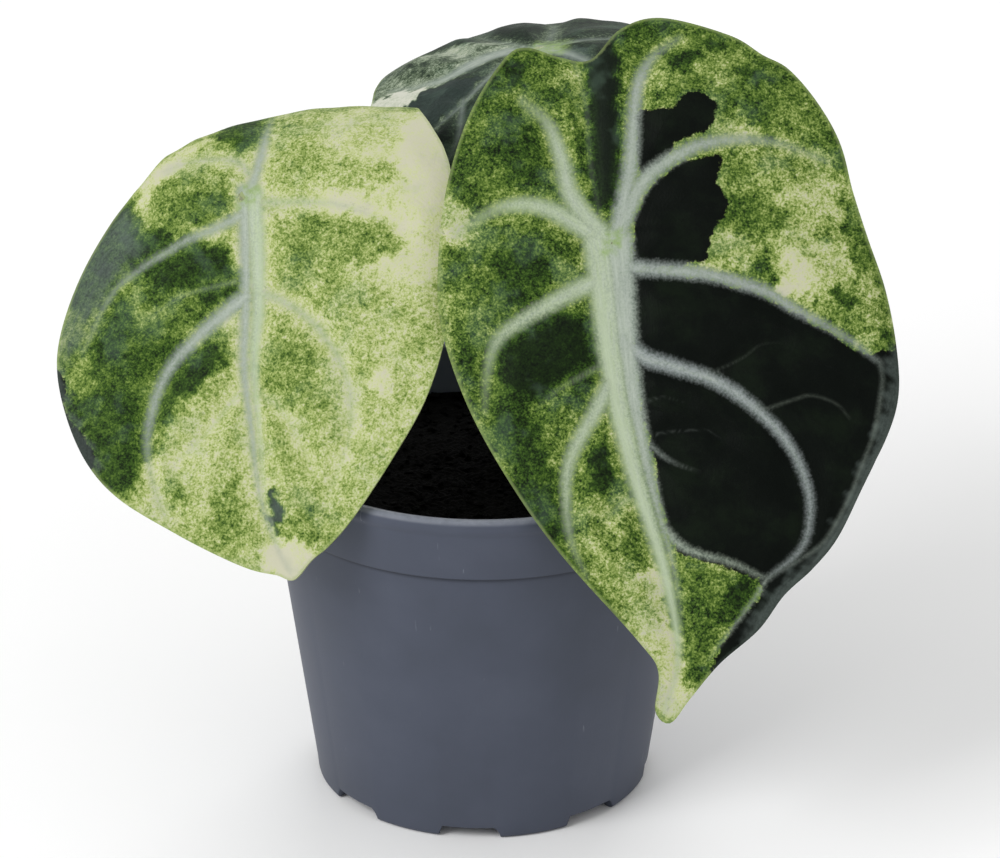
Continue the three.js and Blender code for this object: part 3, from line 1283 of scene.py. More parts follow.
    def thicken(self, piece: bpy.types.Object, rim: np.ndarray) -> None:
        """Gives the sheet its thickness and raises the veins on its underside.

        Args:
            piece: The open sheet.
            rim: Its vertices' distances from the margin.
        """
        count = len(rim)
        shell = piece.modifiers.new("thickness", "SOLIDIFY")
        shell.thickness = self.thickness * MM
        shell.offset = -1.0
        shell.material_offset = 1
        shell.material_offset_rim = 2
        for material in (self.velvet.upper(), self.velvet.under(), self.velvet.rim()):
            piece.data.materials.append(material)
        grasp(piece)
        bpy.ops.object.modifier_apply(modifier=shell.name)
        gap = np.empty(len(piece.data.vertices), np.float32)
        piece.data.attributes["gap"].data.foreach_get("value", gap)
        normals = np.empty(3 * len(gap))
        piece.data.vertices.foreach_get("normal", normals)
        ribs = self.rib * soft_step((self.RIB_EDGE - gap[count:]) / self.RIB_FLANK)
        ribs *= soft_step(rim / self.RIB_FADE)
        points = read_points(piece)
        points[count:] += normals.reshape(-1, 3)[count:] * ribs[:, None] * MM
        write_points(piece, points)
        smooth(piece, 50.0)

    def dress(self) -> None:
        """Builds the blade and ties it to the frame."""
        settle(self.build(), f"{self.name}_leaf_blade")


FRONT = Blade(
    name="front",
    attachment=(33.5, -25.8, 164.1),
    tip=(0.105, -0.508, -0.855),
    face=(0.06, -0.855, 0.515),
    hub=(14.0, 80.0),
    fold=3.0,
    bends=(
        Bend(90, 62, 80, 18), Bend(90, 10, 60, 330), Bend(-90, 8, 60, 170),
        Bend(180, 8, 60, 150), Bend(0, 30, 110, 700),
    ),
    outline=(
        (0, -50), (9, -58), (20, -60), (37, -53), (44.7, -46.7), (50.9, -42.2), (57.2, -32.4),
        (61.8, -20.8), (63.4, -8), (65.8, 5), (68.7, 18.5), (69.9, 33), (69, 46), (64.5, 57.5),
        (57, 70), (49.7, 81.5), (42.5, 88.7), (34.5, 94.8), (27, 103), (16.2, 110.6), (7.7, 118.8),
        (2, 124.5), (-1.5, 121), (0.2, 111), (-4.2, 102.8), (-21.2, 79.5), (-32.3, 60),
        (-41.3, 38.5), (-46, 17), (-45, 0), (-40.5, -20), (-32.5, -38.5), (-22, -52.5), (-16, -55),
        (-8, -51.5),
    ),
    veins=(
        Vein(((-3.4, -1), (-3.1, 34), (-0.5, 59), (4.2, 83), (6, 100), (5.2, 111), (0.5, 122)),
             4.7, 0.7, cool=0.1, taper=1.3, last=0.6),
        Vein(((1.5, -1), (1, 34), (2.9, 59), (6.6, 83), (7.6, 97)), 4.6, 0.6, cool=0.7,
             taper=1.4),
        Vein(((2, -3), (7, -20), (11, -40), (16.5, -49), (24, -53.5)), 3.0, 1.2, cool=0.75),
        Vein(((-2, -2), (-9, -13), (-10.8, -25), (-13.5, -34), (-19, -40)), 3.4, 1.6,
             cool=0.2),
        Vein(((2, -3), (8.6, -14), (15.6, -19.5), (25.7, -23.5), (36, -24), (46, -22),
              (58, -16)), 3.0, 0.9, cool=0.7, taper=0.8),
        Vein(((1, 5), (6, 7), (22, 10), (37.5, 16), (45, 21.5), (52.5, 26.5), (60, 32),
              (65.3, 37.5)), 2.7, 0.6, cool=0.85, taper=0.7, last=0.8),
        Vein(((0, 25), (5, 30), (11.5, 33), (23, 38.3), (32.3, 46.5), (39.5, 56), (43, 66),
              (43.2, 75), (39.7, 83.5), (30.3, 90)), 2.7, 0.8, cool=0.95, taper=0.8, last=0.85),
        Vein(((5, 74), (9, 79), (14, 82), (22, 85), (30.3, 90)), 1.6, 0.7, cool=0.6, last=0.9),
        Vein(((30.3, 90), (26, 95.5), (19, 103), (13.5, 109)), 0.8, 0.3, cool=0.6),
        Vein(((-2, -1), (-10, -7), (-17, -11), (-24, -12.4), (-31, -11), (-40, -6)), 3.4, 1.6,
             cool=0.1),
        Vein(((-3, 9), (-10, 11), (-18, 14.4), (-27.3, 18.7), (-32.6, 23), (-35.7, 31),
              (-37, 40)), 3.2, 0.9, cool=0.15, taper=0.8),
        Vein(((-2, 32), (-9, 43), (-14.8, 51), (-18, 58.5), (-19, 69), (-18.3, 77),
              (-15.5, 85)), 2.8, 0.7, cool=0.2, taper=0.8),
        Vein(((65.3, 37.5), (65.1, 43), (62, 55), (58, 63), (53.5, 71.5), (46.5, 81.4),
              (40, 85.5), (30.3, 90)), 0.4, 0.5, cool=0.7, strength=0.55, last=0.9),
        Vein(((-4, 30.5), (-8, 32), (-18, 36.5), (-24, 41)), 1.1, 0.2, cool=0.2, strength=0.6),
        Vein(((0.5, 64), (-5.5, 67.7), (-9, 71)), 0.8, 0.3, cool=0.2, strength=0.6),
        Vein(((3, 51.5), (7, 55.8), (10.7, 58.5), (16, 61)), 0.9, 0.1, cool=0.8, strength=0.75,
             last=0.3),
        Vein(((4.3, 50.5), (9.5, 50), (18.7, 50.5), (22.3, 53)), 0.1, -0.2, cool=0.8,
             strength=0.42),
        Vein(((5, 41.4), (9, 41), (14.4, 43)), 0.1, -0.2, cool=0.8, strength=0.4),
        Vein(((19, 36), (21.6, 35.8), (30, 33), (35, 30), (40, 29.8)), 0.1, -0.2, cool=0.6,
             strength=0.38),
        Vein(((32.5, 45.5), (35, 46.4), (42.3, 44.8), (47, 44.2), (53, 47), (56, 51)), 0.3, 0.0,
             cool=0.6, strength=0.42, last=0.7),
        # Painted reflection: a faint grey band along the dark strip outside the marginal vein.
        Vein(((70.5, 37), (69, 48), (63.5, 59), (56, 71), (49, 81), (41.5, 88), (33, 95)), 0.5, 0.4,
             cool=0.9, strength=0.3),
        Vein(((-5, -52), (-2.6, -40), (-3.3, -20), (-2, -6)), 0.7, 0.5, cool=0.6, strength=0.3),
        Vein(((-44, -6), (-44.5, 10), (-43.5, 26), (-38, 44), (-31, 58)), 0.3, 0.2, cool=0.1,
             strength=0.35),
        Vein(((-4.6, 3), (-4, 34), (-1, 59), (4, 83), (5.9, 100), (5, 111), (0.6, 121)),
             1.6, 0.3, kind=VeinKind.CORE),
    ),
    base=0.3,
    areas=(
        Patch((-24, -26), (16, 16), 0.33),
        Patch((-20, -27), (6, 10), 0.24),
        Patch((-15, -49), (8, 6), 0.36),
        Patch((-20, -48), (2.5, 4), 0.16, 20),
        # Painted highlight: the paler spots on the left lobe's top.
        Patch((-8, -46), (3, 4), 0.46),
        Patch((-8, -33), (2, 8), 0.4),
        Patch((-4, -30), (3, 16), 0.26),
        Patch((-26, 3), (18, 12), 0.36),
        Patch((-24, 6), (8, 8), 0.22),
        Patch((-41, -10), (5, 7), 0.66),
        Patch((-40, 16), (6, 9), 0.42),
        Patch((-41, 29), (5, 9), 0.28),
        Patch((-20, 27), (14, 13), 0.09, 30),
        Patch((-16, 41), (6, 5), 0.28),
        Patch((-27, 58), (8, 22), 0.22, -20),
        Patch((-18, 48), (4, 8), 0.42, 20),
        Patch((-9, 54), (8, 12), 0.34),
        Patch((-9, 58), (3, 6), 0.13),
        Patch((-8, 72), (9, 9), 0.52),
        Patch((-2, 77), (4, 8), 0.37),
        Patch((0, 89), (5, 5), 0.8),
        Patch((-9, 84), (5, 8), 0.56, -20),
        Patch((-3, 94), (6, 8), 0.66),
        Patch((1, 106), (6, 9), 0.74),
        Patch((4, 118), (6, 6), 0.78),
        Patch((17, 96), (9, 14), 0.34, 20),
        Patch((23, 95), (3, 8), 0.16, 20),
        Patch((28, -40), (30, 22), 0.37),
        Patch((18, -40), (6, 8), 0.45),
        Patch((24, -47), (6, 3), 0.22, 15),
        Patch((34, -50), (3.5, 2), 0.2, 30),
        Patch((32, -43), (5, 6), 0.52),
        Patch((36, -28), (6, 4), 0.55),
        Patch((44, -34), (9, 7), 0.34),
        Patch((41, -41), (3, 3), 0.2),
        Patch((23, -56), (14, 4), 0.32),
        Patch((54, -24), (8, 12), 0.43),
        Patch((38, -15), (12, 6), 0.48),
        Patch((53, 3), (14, 18), 0.69),
        Patch((37, -3), (9, 5), 0.37),
        Patch((30, 5), (9, 5), 0.6),
        Patch((46.5, 13), (5, 6), 0.88),
        Patch((55, 2), (2.5, 4), 0.5, 15),
        Patch((63, 6), (3, 13), 0.38, -8),
        Patch((64, 24), (5, 9), 0.55),
        Patch((58, 20), (3.5, 2.5), 0.24, 30),
        # Painted shadow: the fold's dark valley along the midrib between the lobes, painted almost
        # black.
        Region(((0.5, -54), (-2, -40), (-3.6, -22), (-3.6, -11), (3, -10), (4.6, -22), (5.5, -36),
                (7, -54)), 0.01, 2.6),
    ),
    dark=(
        ((6, 5.5), (8.5, -10), (14, -15.6), (22.4, -19.5), (31, -21), (28.5, -14), (31, -7),
         (26.5, -1), (22, 7)),
        ((4, 8), (22, 11.5), (37, 17), (45, 22.5), (53, 28), (60, 33.5), (67, 35), (75, 33),
         (78, 56), (66, 74), (54, 90), (40, 101), (24, 108), (14, 112), (19, 103), (26, 96),
         (29, 91), (22, 86.5), (14, 83.5), (8, 80), (6, 70), (5, 58), (3, 45), (3, 34), (2, 20)),
        ((10, -34), (19, -33.5), (23, -37), (28, -37), (30.5, -33), (29.5, -29), (25, -26),
         (19, -25), (16, -21), (11, -17), (9, -20)),
    ),
    # Painted sheen: grey reflection over the curled right margin strip, and a trace in the fold's
    # valley.
    painted_sheen=(
        Region(((67.5, 34), (66.5, 45), (62, 56.5), (55, 69), (48, 80), (41, 86.5), (33, 92.5),
                (22, 104), (32, 102), (48, 90), (60, 74), (70, 58), (73, 40), (72, 33)), 0.4, 3),
        Region(((0.5, -54), (-2.4, -36), (-3.6, -14), (3, -12), (5, -32), (7, -54)), 0.03, 3),
    ),
    velvet=VelvetFinish("front"),
    quilt=1.4,
)

LEFT = Blade(
    name="left",
    attachment=(-61.6, -4.3, 168.0),
    tip=(-0.045, -0.535, -0.843),
    face=(-0.234, -0.815, 0.53),
    hub=(1.0, 25.0),
    fold=2.0,
    bends=(
        Bend(-120, 4, 60, 50), Bend(90, 20, 70, 250), Bend(180, 2.6, 42, 25.6),
        Bend(0, 30, 90, 800),
    ),
    outline=(
        (0, -34), (8, -45), (22, -50), (33, -47), (39, -38.5), (43, -30), (47.9, -21.5),
        (52.4, -13.7), (55, -5), (55.6, 14), (55.6, 34), (51.2, 52), (43, 68), (33.5, 83),
        (27, 90.8), (22.3, 94.8), (17.6, 100), (13, 98.9), (6, 97.6), (-3, 94.2), (-15, 88.5),
        (-30.5, 79.8), (-40, 70), (-46.5, 56.5), (-50, 43), (-49.2, 30), (-45.6, 17), (-39.5, 5),
        (-31.5, -6), (-28, -17), (-27, -30), (-22, -42), (-13, -46), (-5, -42),
    ),
    veins=(
        Vein(((-0.8, -2), (1.2, 26), (1.6, 44), (4.6, 62), (7.4, 78), (12.4, 91), (16.5, 98)),
             2.6, 0.6, cool=0.75, taper=1.2, last=0.6),
        Vein(((1.8, -1), (4.4, 26), (4.2, 44), (6.4, 62), (8.6, 78)), 3.4, 0.5, cool=0.15,
             taper=1.2),
        Vein(((0.4, 0), (2.9, -13.7), (1.8, -30)), 2.4, 1.2, cool=0.7),
        Vein(((0, -7), (-4, -10.7), (-15.5, -12), (-26, -10)), 1.6, 0.6, cool=0.6,
             strength=0.55),
        Vein(((-0.5, 4), (-8, 8), (-17, 12), (-34.7, 24), (-42.5, 40.5)), 2.2, 0.7, cool=0.65),
        Vein(((1, 26), (-5, 31), (-11.5, 37), (-19.6, 47), (-23.5, 62), (-22, 74), (-18, 84)),
             2.8, 0.6, cool=0.75, taper=0.8),
        Vein(((1, 1), (24, 1.5), (41.5, 7.5)), 1.8, 0.5, cool=0.25, strength=0.55),
        Vein(((4, 25), (11, 27), (21, 34), (29.6, 47), (31, 62), (26, 78)), 2.0, 0.5, cool=0.4,
             strength=0.6),
        Vein(((0, 52), (-8, 62.5), (-16, 70)), 0.8, 0.2, cool=0.1, strength=0.6),
        Vein(((-2, 22), (-16, 26), (-26, 33)), 0.7, 0.2, cool=0.5, strength=0.45),
        Vein(((5, 50), (14, 58), (22, 72)), 0.6, 0.2, cool=0.1, strength=0.4),
        Vein(((3, 0), (5.2, 26), (5, 44), (7, 62), (9, 78), (13, 91)), 0.9, 0.2,
             kind=VeinKind.CORE),
    ),
    base=0.64,
    areas=(
        Patch((-16, -15), (13, 9), 0.63),
        Region(((3, -30), (1.8, -16), (-5, -14), (-12, -21), (-10, -34)), 0.26, 5),
        Region(((-19, -12), (-16, -16), (-13, -19), (-20, -20), (-32, -8), (-30, 2), (-26, -3)),
               0.86, 4),
        Patch((-15, 2), (13, 8), 0.52),
        Patch((-12, 3), (8, 4), 0.34),
        Patch((-40, 15), (12, 18), 0.26),
        Patch((-39, 17), (3, 4), 0.17),
        Patch((-32, 50), (18, 22), 0.3),
        Patch((-15, 19), (18, 9), 0.18, 20),
        Patch((-16, 31), (13, 6), 0.37, 25),
        Patch((-43, 48), (4, 6), 0.5),
        Patch((-31, 66), (9, 16), 0.25, 25),
        Region(((-20, 39), (-13, 38), (-3, 39), (-4, 44), (-10, 49.5), (-15, 53.5), (-19, 58.5),
                (-21.5, 56)), 0.2, 4),
        Patch((-10, 70), (11, 15), 0.7, 20),
        Patch((-1, 83), (4, 8), 0.48),
        Patch((-15, 78), (3, 4), 0.52),
        Patch((27, 11), (17, 9), 0.5),
        Patch((24, 24), (15, 6), 0.6),
        Patch((13, 46), (8, 10), 0.52),
        Patch((20, 67), (12, 12), 0.65),
        Patch((19, 86), (5, 5), 0.48),
        Patch((40, 48), (11, 20), 0.7),
        Patch((39, 48), (3, 4), 0.86),
        Patch((42, 0), (22, 24), 0.86),
        Patch((30, -22), (14, 9), 0.78),
        Patch((48, -16), (8, 20), 0.96),
        Patch((28, -6), (14, 4), 0.66),
        Patch((15, -17), (5, 9), 0.62),
        Patch((29, 11), (13, 7), 0.52),
        Patch((16, 95), (8, 5), 0.94),
        Region(((10, 77.5), (12.4, 78), (13.6, 84), (12.8, 87.5), (10.8, 86), (10.2, 82)), 0.02, 2),
    ),
    # Painted sheen: grey-green reflection along the left edge, and a touch on the small dark fleck.
    painted_sheen=(
        Region(((-37, 2), (-30, 8), (-30, 15), (-36, 24), (-41, 34), (-47, 42), (-56, 40),
                (-50, 16)), 0.5, 7),
        Region(((-49, 44), (-45, 54), (-41, 62), (-35, 70), (-42, 76), (-56, 62), (-56, 46)), 0.3,
               3),
        Patch((11.7, 82), (2.2, 5), 0.35),
    ),
    dark=(
        ((-48.6, 45), (-46.4, 53), (-42.6, 61.5), (-37.5, 68.5), (-42, 74), (-56, 62), (-56, 46)),
    ),
    velvet=VelvetFinish("left", mottle=0.85),
    quilt=1.2,
)

BACK = Blade(
    name="back",
    attachment=(14.9, 55.8, 188.6),
    tip=(-0.834, -0.541, -0.11),
    face=(-0.179, 0.076, 0.981),
    hub=(0.0, 20.0),
    fold=0.0,
    bends=(
        Bend(-90, 12, 70, 103), Bend(90, 5, 45, 44), Bend(0, 3, 28, 76), Bend(0, 28, 90, 180),
        Bend(180, 1, 38, 92),
    ),
    outline=(
        (0, -38), (9, -47), (22, -46), (36, -36), (44, -20), (46, 0), (43, 22), (35, 46), (22, 68),
        (8, 86), (2, 93), (-5, 85), (-14, 70), (-20, 55), (-28, 42), (-41, 32), (-51, 21), (-50, 0),
        (-45, -20), (-36, -36), (-22, -46), (-9, -47),
    ),
    veins=(
        Vein(((0, -2), (1.5, 12), (4, 17.4), (6.5, 25.6), (7.8, 34.3), (8.2, 42), (7, 60), (3, 88)),
             2.6, 0.5, cool=0.9, taper=1.2, strength=0.6),
        Vein(((-1, 0), (-6.5, 6), (-9.3, 12), (-10.2, 20), (-12.5, 26), (-19, 30), (-30, 33)),
             4.4, 1.2, cool=0.75, strength=0.8, taper=0.8),
        Vein(((-9, 14), (-22, 13), (-36, 10.5), (-50, 10)), 1.2, 0.3, cool=0.7, strength=0.3),
        Vein(((-4, 0), (-14, 1.5), (-26, 0.8), (-44, -5)), 1.6, 0.4, cool=0.7, strength=0.4),
        Vein(((-3, -5), (-14, -14), (-27, -21.5), (-38, -27)), 1.8, 0.5, cool=0.7, strength=0.35),
        Vein(((0, -3), (6.4, -16), (12, -34)), 2.4, 0.8, cool=0.7, strength=0.5),
        Vein(((2, 0), (13, -2.5), (24, -5), (36, -2)), 3.0, 0.9, cool=0.8, strength=0.7),
        Vein(((3, 12), (18, 18), (34, 30)), 1.6, 0.5, cool=0.8, strength=0.6),
        Vein(((6, 30), (18, 42), (23, 58)), 1.4, 0.5, cool=0.8, strength=0.6),
        Vein(((5, 46), (-8, 56), (-14, 68)), 1.4, 0.5, cool=0.8, strength=0.6),
        Vein(((1.6, 10), (3.4, 17.4), (5.2, 25.6), (6.6, 34.3), (7.2, 42), (6, 60)), 0.5, 0.2,
             cool=1.0, strength=0.5),
        Vein(((6.6, 20), (7.6, 26), (8.6, 34), (9.2, 42)), 0.3, 0.2, cool=1.0, strength=0.5),
    ),
    base=0.22,
    heart=Patch((2.0, 0.5), (8.0, 9.0), 1.0),
    areas=(
        Region(((-8, 2), (-22, 4), (-40, 10), (-54, 20), (-46, 36), (-32, 44), (-20, 40),
                (-12, 34), (-8, 20)), 0.44, 5),
        Region(((-9, 39), (-10.3, 33), (-12, 30.6), (-17, 31.3), (-24, 33.3), (-29, 36),
                (-27, 42), (-18, 48), (-10, 46)), 0.95, 2),
        Patch((-26.4, 37), (2, 1.2), 0.4),
        Patch((-24, 23), (9, 1.6), 0.3, 25),
        Patch((-18, 18), (8, 1.4), 0.34, 25),
        Patch((-33, 22), (2, 7), 0.3, 20),
        Patch((-30, 14), (4, 8), 0.62, 30),
        Patch((-20, 10), (4, 6), 0.58, 30),
        Patch((-24, -8), (14, 7), 0.16, 30),
        Patch((-40, 0), (12, 9), 0.2),
        Region(((-54, 20), (-50, 30), (-38, 47), (-44, 48), (-58, 30)), 0.2, 4),
        Region(((-9.8, 40), (-10.3, 33), (-10, 29), (-6.7, 25.8), (-1.9, 23.8), (2, 20),
                (5.6, 30), (6.4, 40), (5, 60), (-4, 58)), 0.06, 1.6),
        Region(((7.5, 18), (9, 28), (10, 40), (9, 60), (20, 62), (28, 46), (24, 28), (14, 16)),
               0.12, 3),
        Patch((24, 2), (8, 4), 0.2),
        Patch((2, 1), (7, 5), 0.62),
    ),
    dark=(
        ((18, -9), (24, -12), (34, -10), (40, 2), (36, 14), (26, 10), (21, 0)),
    ),
    # Painted sheen: grey reflection over the midrib band, and a small patch beside the dark patch.
    painted_sheen=(
        Region(((-9.8, 40), (-10.3, 33), (-10, 29), (-6.7, 25.8), (-1.9, 23.8), (2, 20),
                (5.6, 30), (6.4, 40), (5, 60), (-4, 58)), 0.3, 1.6),
        Patch((14, -3), (6, 4), 0.4),
    ),
    # The greyed colours are partly the leaf's own slate tones and partly painted sheen, the grey
    # reflection of its slanting face.
    velvet=VelvetFinish("back", mottle=0.8, silver="868f8d", sage="8a9686", patch="151c1c",
                        painted_sheen="4c5a57", panel=(
        (0.0, "0f1712"), (0.14, "18231b"), (0.3, "2e3c2d"), (0.46, "5d6b54"),
        (0.62, "87937f"), (0.8, "a6ae98"), (1.0, "c9cabc"),
    )),
    quilt=1.6,
)


# Stalks and crown


@dataclass
class Petiole:
    """A tapered stalk from the crown to just behind its blade.

    Attributes:
        blade: The blade that it carries.
        route: The points of its middle line between the crown and the blade.
        turn: Where it stands on the crown, in degrees from +X.
        base_radius: Its radius at the crown.
        top_radius: Its radius below the blade.
        foot_height: The height of its foot, inside the crown.
        flare: How much it widens just below the blade.
        flare_start: The share of its length from which it widens.
        groove: The depth of the groove along it, as a share of its radius.
        sides: How many faces it has round.
        steps: How many it has along.
    """

    blade: Blade
    route: tuple[Place, ...]
    turn: float
    base_radius: float = 2.6
    top_radius: float = 1.8
    foot_height: float = 91.3
    flare: float = 0.9
    flare_start: float = 0.93
    groove: float = 0.1
    sides: int = 28
    steps: int = 120

    def middle(self) -> np.ndarray:
        """Draws the middle line.

        Returns:
            Its points, in millimetres.
        """
        angle = math.radians(self.turn)
        foot = (CROWN.x + CROWN.ring * math.cos(angle), CROWN.y + CROWN.ring * math.sin(angle))
        face = self.blade.axes()[2]
        attachment = np.array(self.blade.attachment)
        ends = [attachment - face * back for back in (5.0, self.blade.thickness + 0.1)]
        points = [(*foot, self.foot_height), (*foot, CROWN.top + 1.0), *self.route, *ends]
        return smooth_path(points, 40, closed=False)

    def sections(self, share: np.ndarray) -> tuple[np.ndarray, np.ndarray, np.ndarray]:
        """Finds the stalk's sections.

        Args:
            share: How far along the stalk each one is, from 0 to 1.

        Returns:
            Each section's middle, and its two unit directions.
        """
        middle = self.middle()
        reach = np.concatenate([[0.0], np.cumsum(np.linalg.norm(np.diff(middle, axis=0), axis=1))])
        where = share * reach[-1]
        slopes = np.gradient(middle, axis=0)
        centre, along = (np.stack([np.interp(where, reach, line[:, i]) for i in range(3)], axis=1)
                         for line in (middle, slopes))
        along /= np.linalg.norm(along, axis=1, keepdims=True)
        side = np.cross(along, (0.0, 1.0, 0.0))
        side /= np.linalg.norm(side, axis=1, keepdims=True)
        return centre, side, np.cross(side, along)

    def build(self) -> bpy.types.Object:
        """Models the stalk as a closed tube.

        Returns:
            The piece.
        """
        piece, shares = add_sheet(f"{self.blade.name}_stalk", self.sides, self.steps)
        share = shares[:, 1]
        centre, side, front = self.sections(share)
        radius = self.base_radius + (self.top_radius - self.base_radius) * share
        radius += self.flare * soft_step((share - self.flare_start) / (1.0 - self.flare_start))
        ends = np.minimum(share, 1.0 - share) * self.steps
        radius *= np.where(ends < 0.5, 0.0, np.where(ends < 1.5, 0.9, 1.0))
        angle = shares[:, 0] * FULL_TURN
        groove = 1.0 - self.groove * np.exp(-((angle - math.pi) / 0.5) ** 2)
        offset = side * np.cos(angle)[:, None] + front * np.sin(angle)[:, None]
        write_points(piece, (centre + offset * (radius * groove)[:, None]) * MM)
        store(piece, "climb", share)
        close(piece, 60.0, StalkFinish(self.blade.name).build())
        return piece

    def dress(self) -> None:
        """Builds the stalk and ties it to the frame."""
        settle(self.build(), f"{self.blade.name}_petiole")


@dataclass
class Crown:
    """The short stem base that the petioles rise from.

    Attributes:
        x: Its middle's place across the pot.
        y: Its middle's place from front to back.
        bottom: The height of its foot, in the soil.
        top: The height of its top.
        radius: Its radius.
        ring: How far from its middle the petioles stand.
        columns: How many faces it has round.
        rows: How many it has along its section.
    """

    x: float = 16.0
    y: float = 8.0
    bottom: float = 76.0
    top: float = 98.0
    radius: float = 9.4
    ring: float = 5.0
    columns: int = 96
    rows: int = 60

    def profile(self) -> np.ndarray:
        """Draws the section from the middle of the foot to the middle of the top.

        Returns:
            Each point's share of the way along, radius and height.
        """
        return np.array([
            (0.0, 0.0, self.bottom), (0.1, self.radius - 1.5, self.bottom),
            (0.16, self.radius - 0.3, self.bottom + 2.0), (0.62, self.radius, self.top - 7.0),
            (0.74, self.radius - 0.5, self.top - 2.0), (0.8, self.radius - 1.6, self.top - 0.4),
            (1.0, 0.0, self.top - 0.2),
        ])

    def build(self) -> bpy.types.Object:
        """Models the crown as a closed, ringed stub.

        Returns:
            The piece.
        """
        piece, shares = add_sheet("crown_stub", self.columns, self.rows)
        angle = shares[:, 0] * FULL_TURN
        share = shares[:, 1]
        profile = self.profile()
        reach = np.interp(share, profile[:, 0], profile[:, 1])
        height = np.interp(share, profile[:, 0], profile[:, 2])
        wall = soft_step((share - 0.1) / 0.1) * soft_step((0.8 - share) / 0.1)
        reach -= wall * (0.25 + 0.25 * np.sin(height * 2.6 + 0.6 * np.sin(angle * 3.0)))
        reach -= wall * 0.12 * (1.0 + np.sin(angle * 11.0 + height * 0.7))
        x = self.x + reach * np.cos(angle)
        y = self.y + reach * np.sin(angle)
        height -= 0.5 * soft_step((share - 0.8) / 0.1) * (1.0 + np.sin(x * 1.9) * np.cos(y * 2.3))
        write_points(piece, np.column_stack([x, y, height]) * MM)
        close(piece, 50.0, CrownFinish().build())
        return piece

    def dress(self) -> None:
        """Builds the crown and ties it to the frame."""
        settle(self.build(), "crown")


CROWN = Crown()
PETIOLES = (
    Petiole(FRONT, ((22.5, 1.5, 118.0), (27.0, -5.0, 140.0), (31.0, -14.0, 154.0)), -45.0),
    Petiole(LEFT, ((4.0, 7.0, 118.0), (-6.0, 2.0, 136.0), (-26.0, 1.0, 151.0),
                   (-47.0, 3.0, 159.0)), 190.0),
    Petiole(BACK, ((17.5, 19.0, 120.0), (17.5, 35.0, 150.0), (16.5, 49.0, 173.0)), 70.0),
)


# Pot and soil


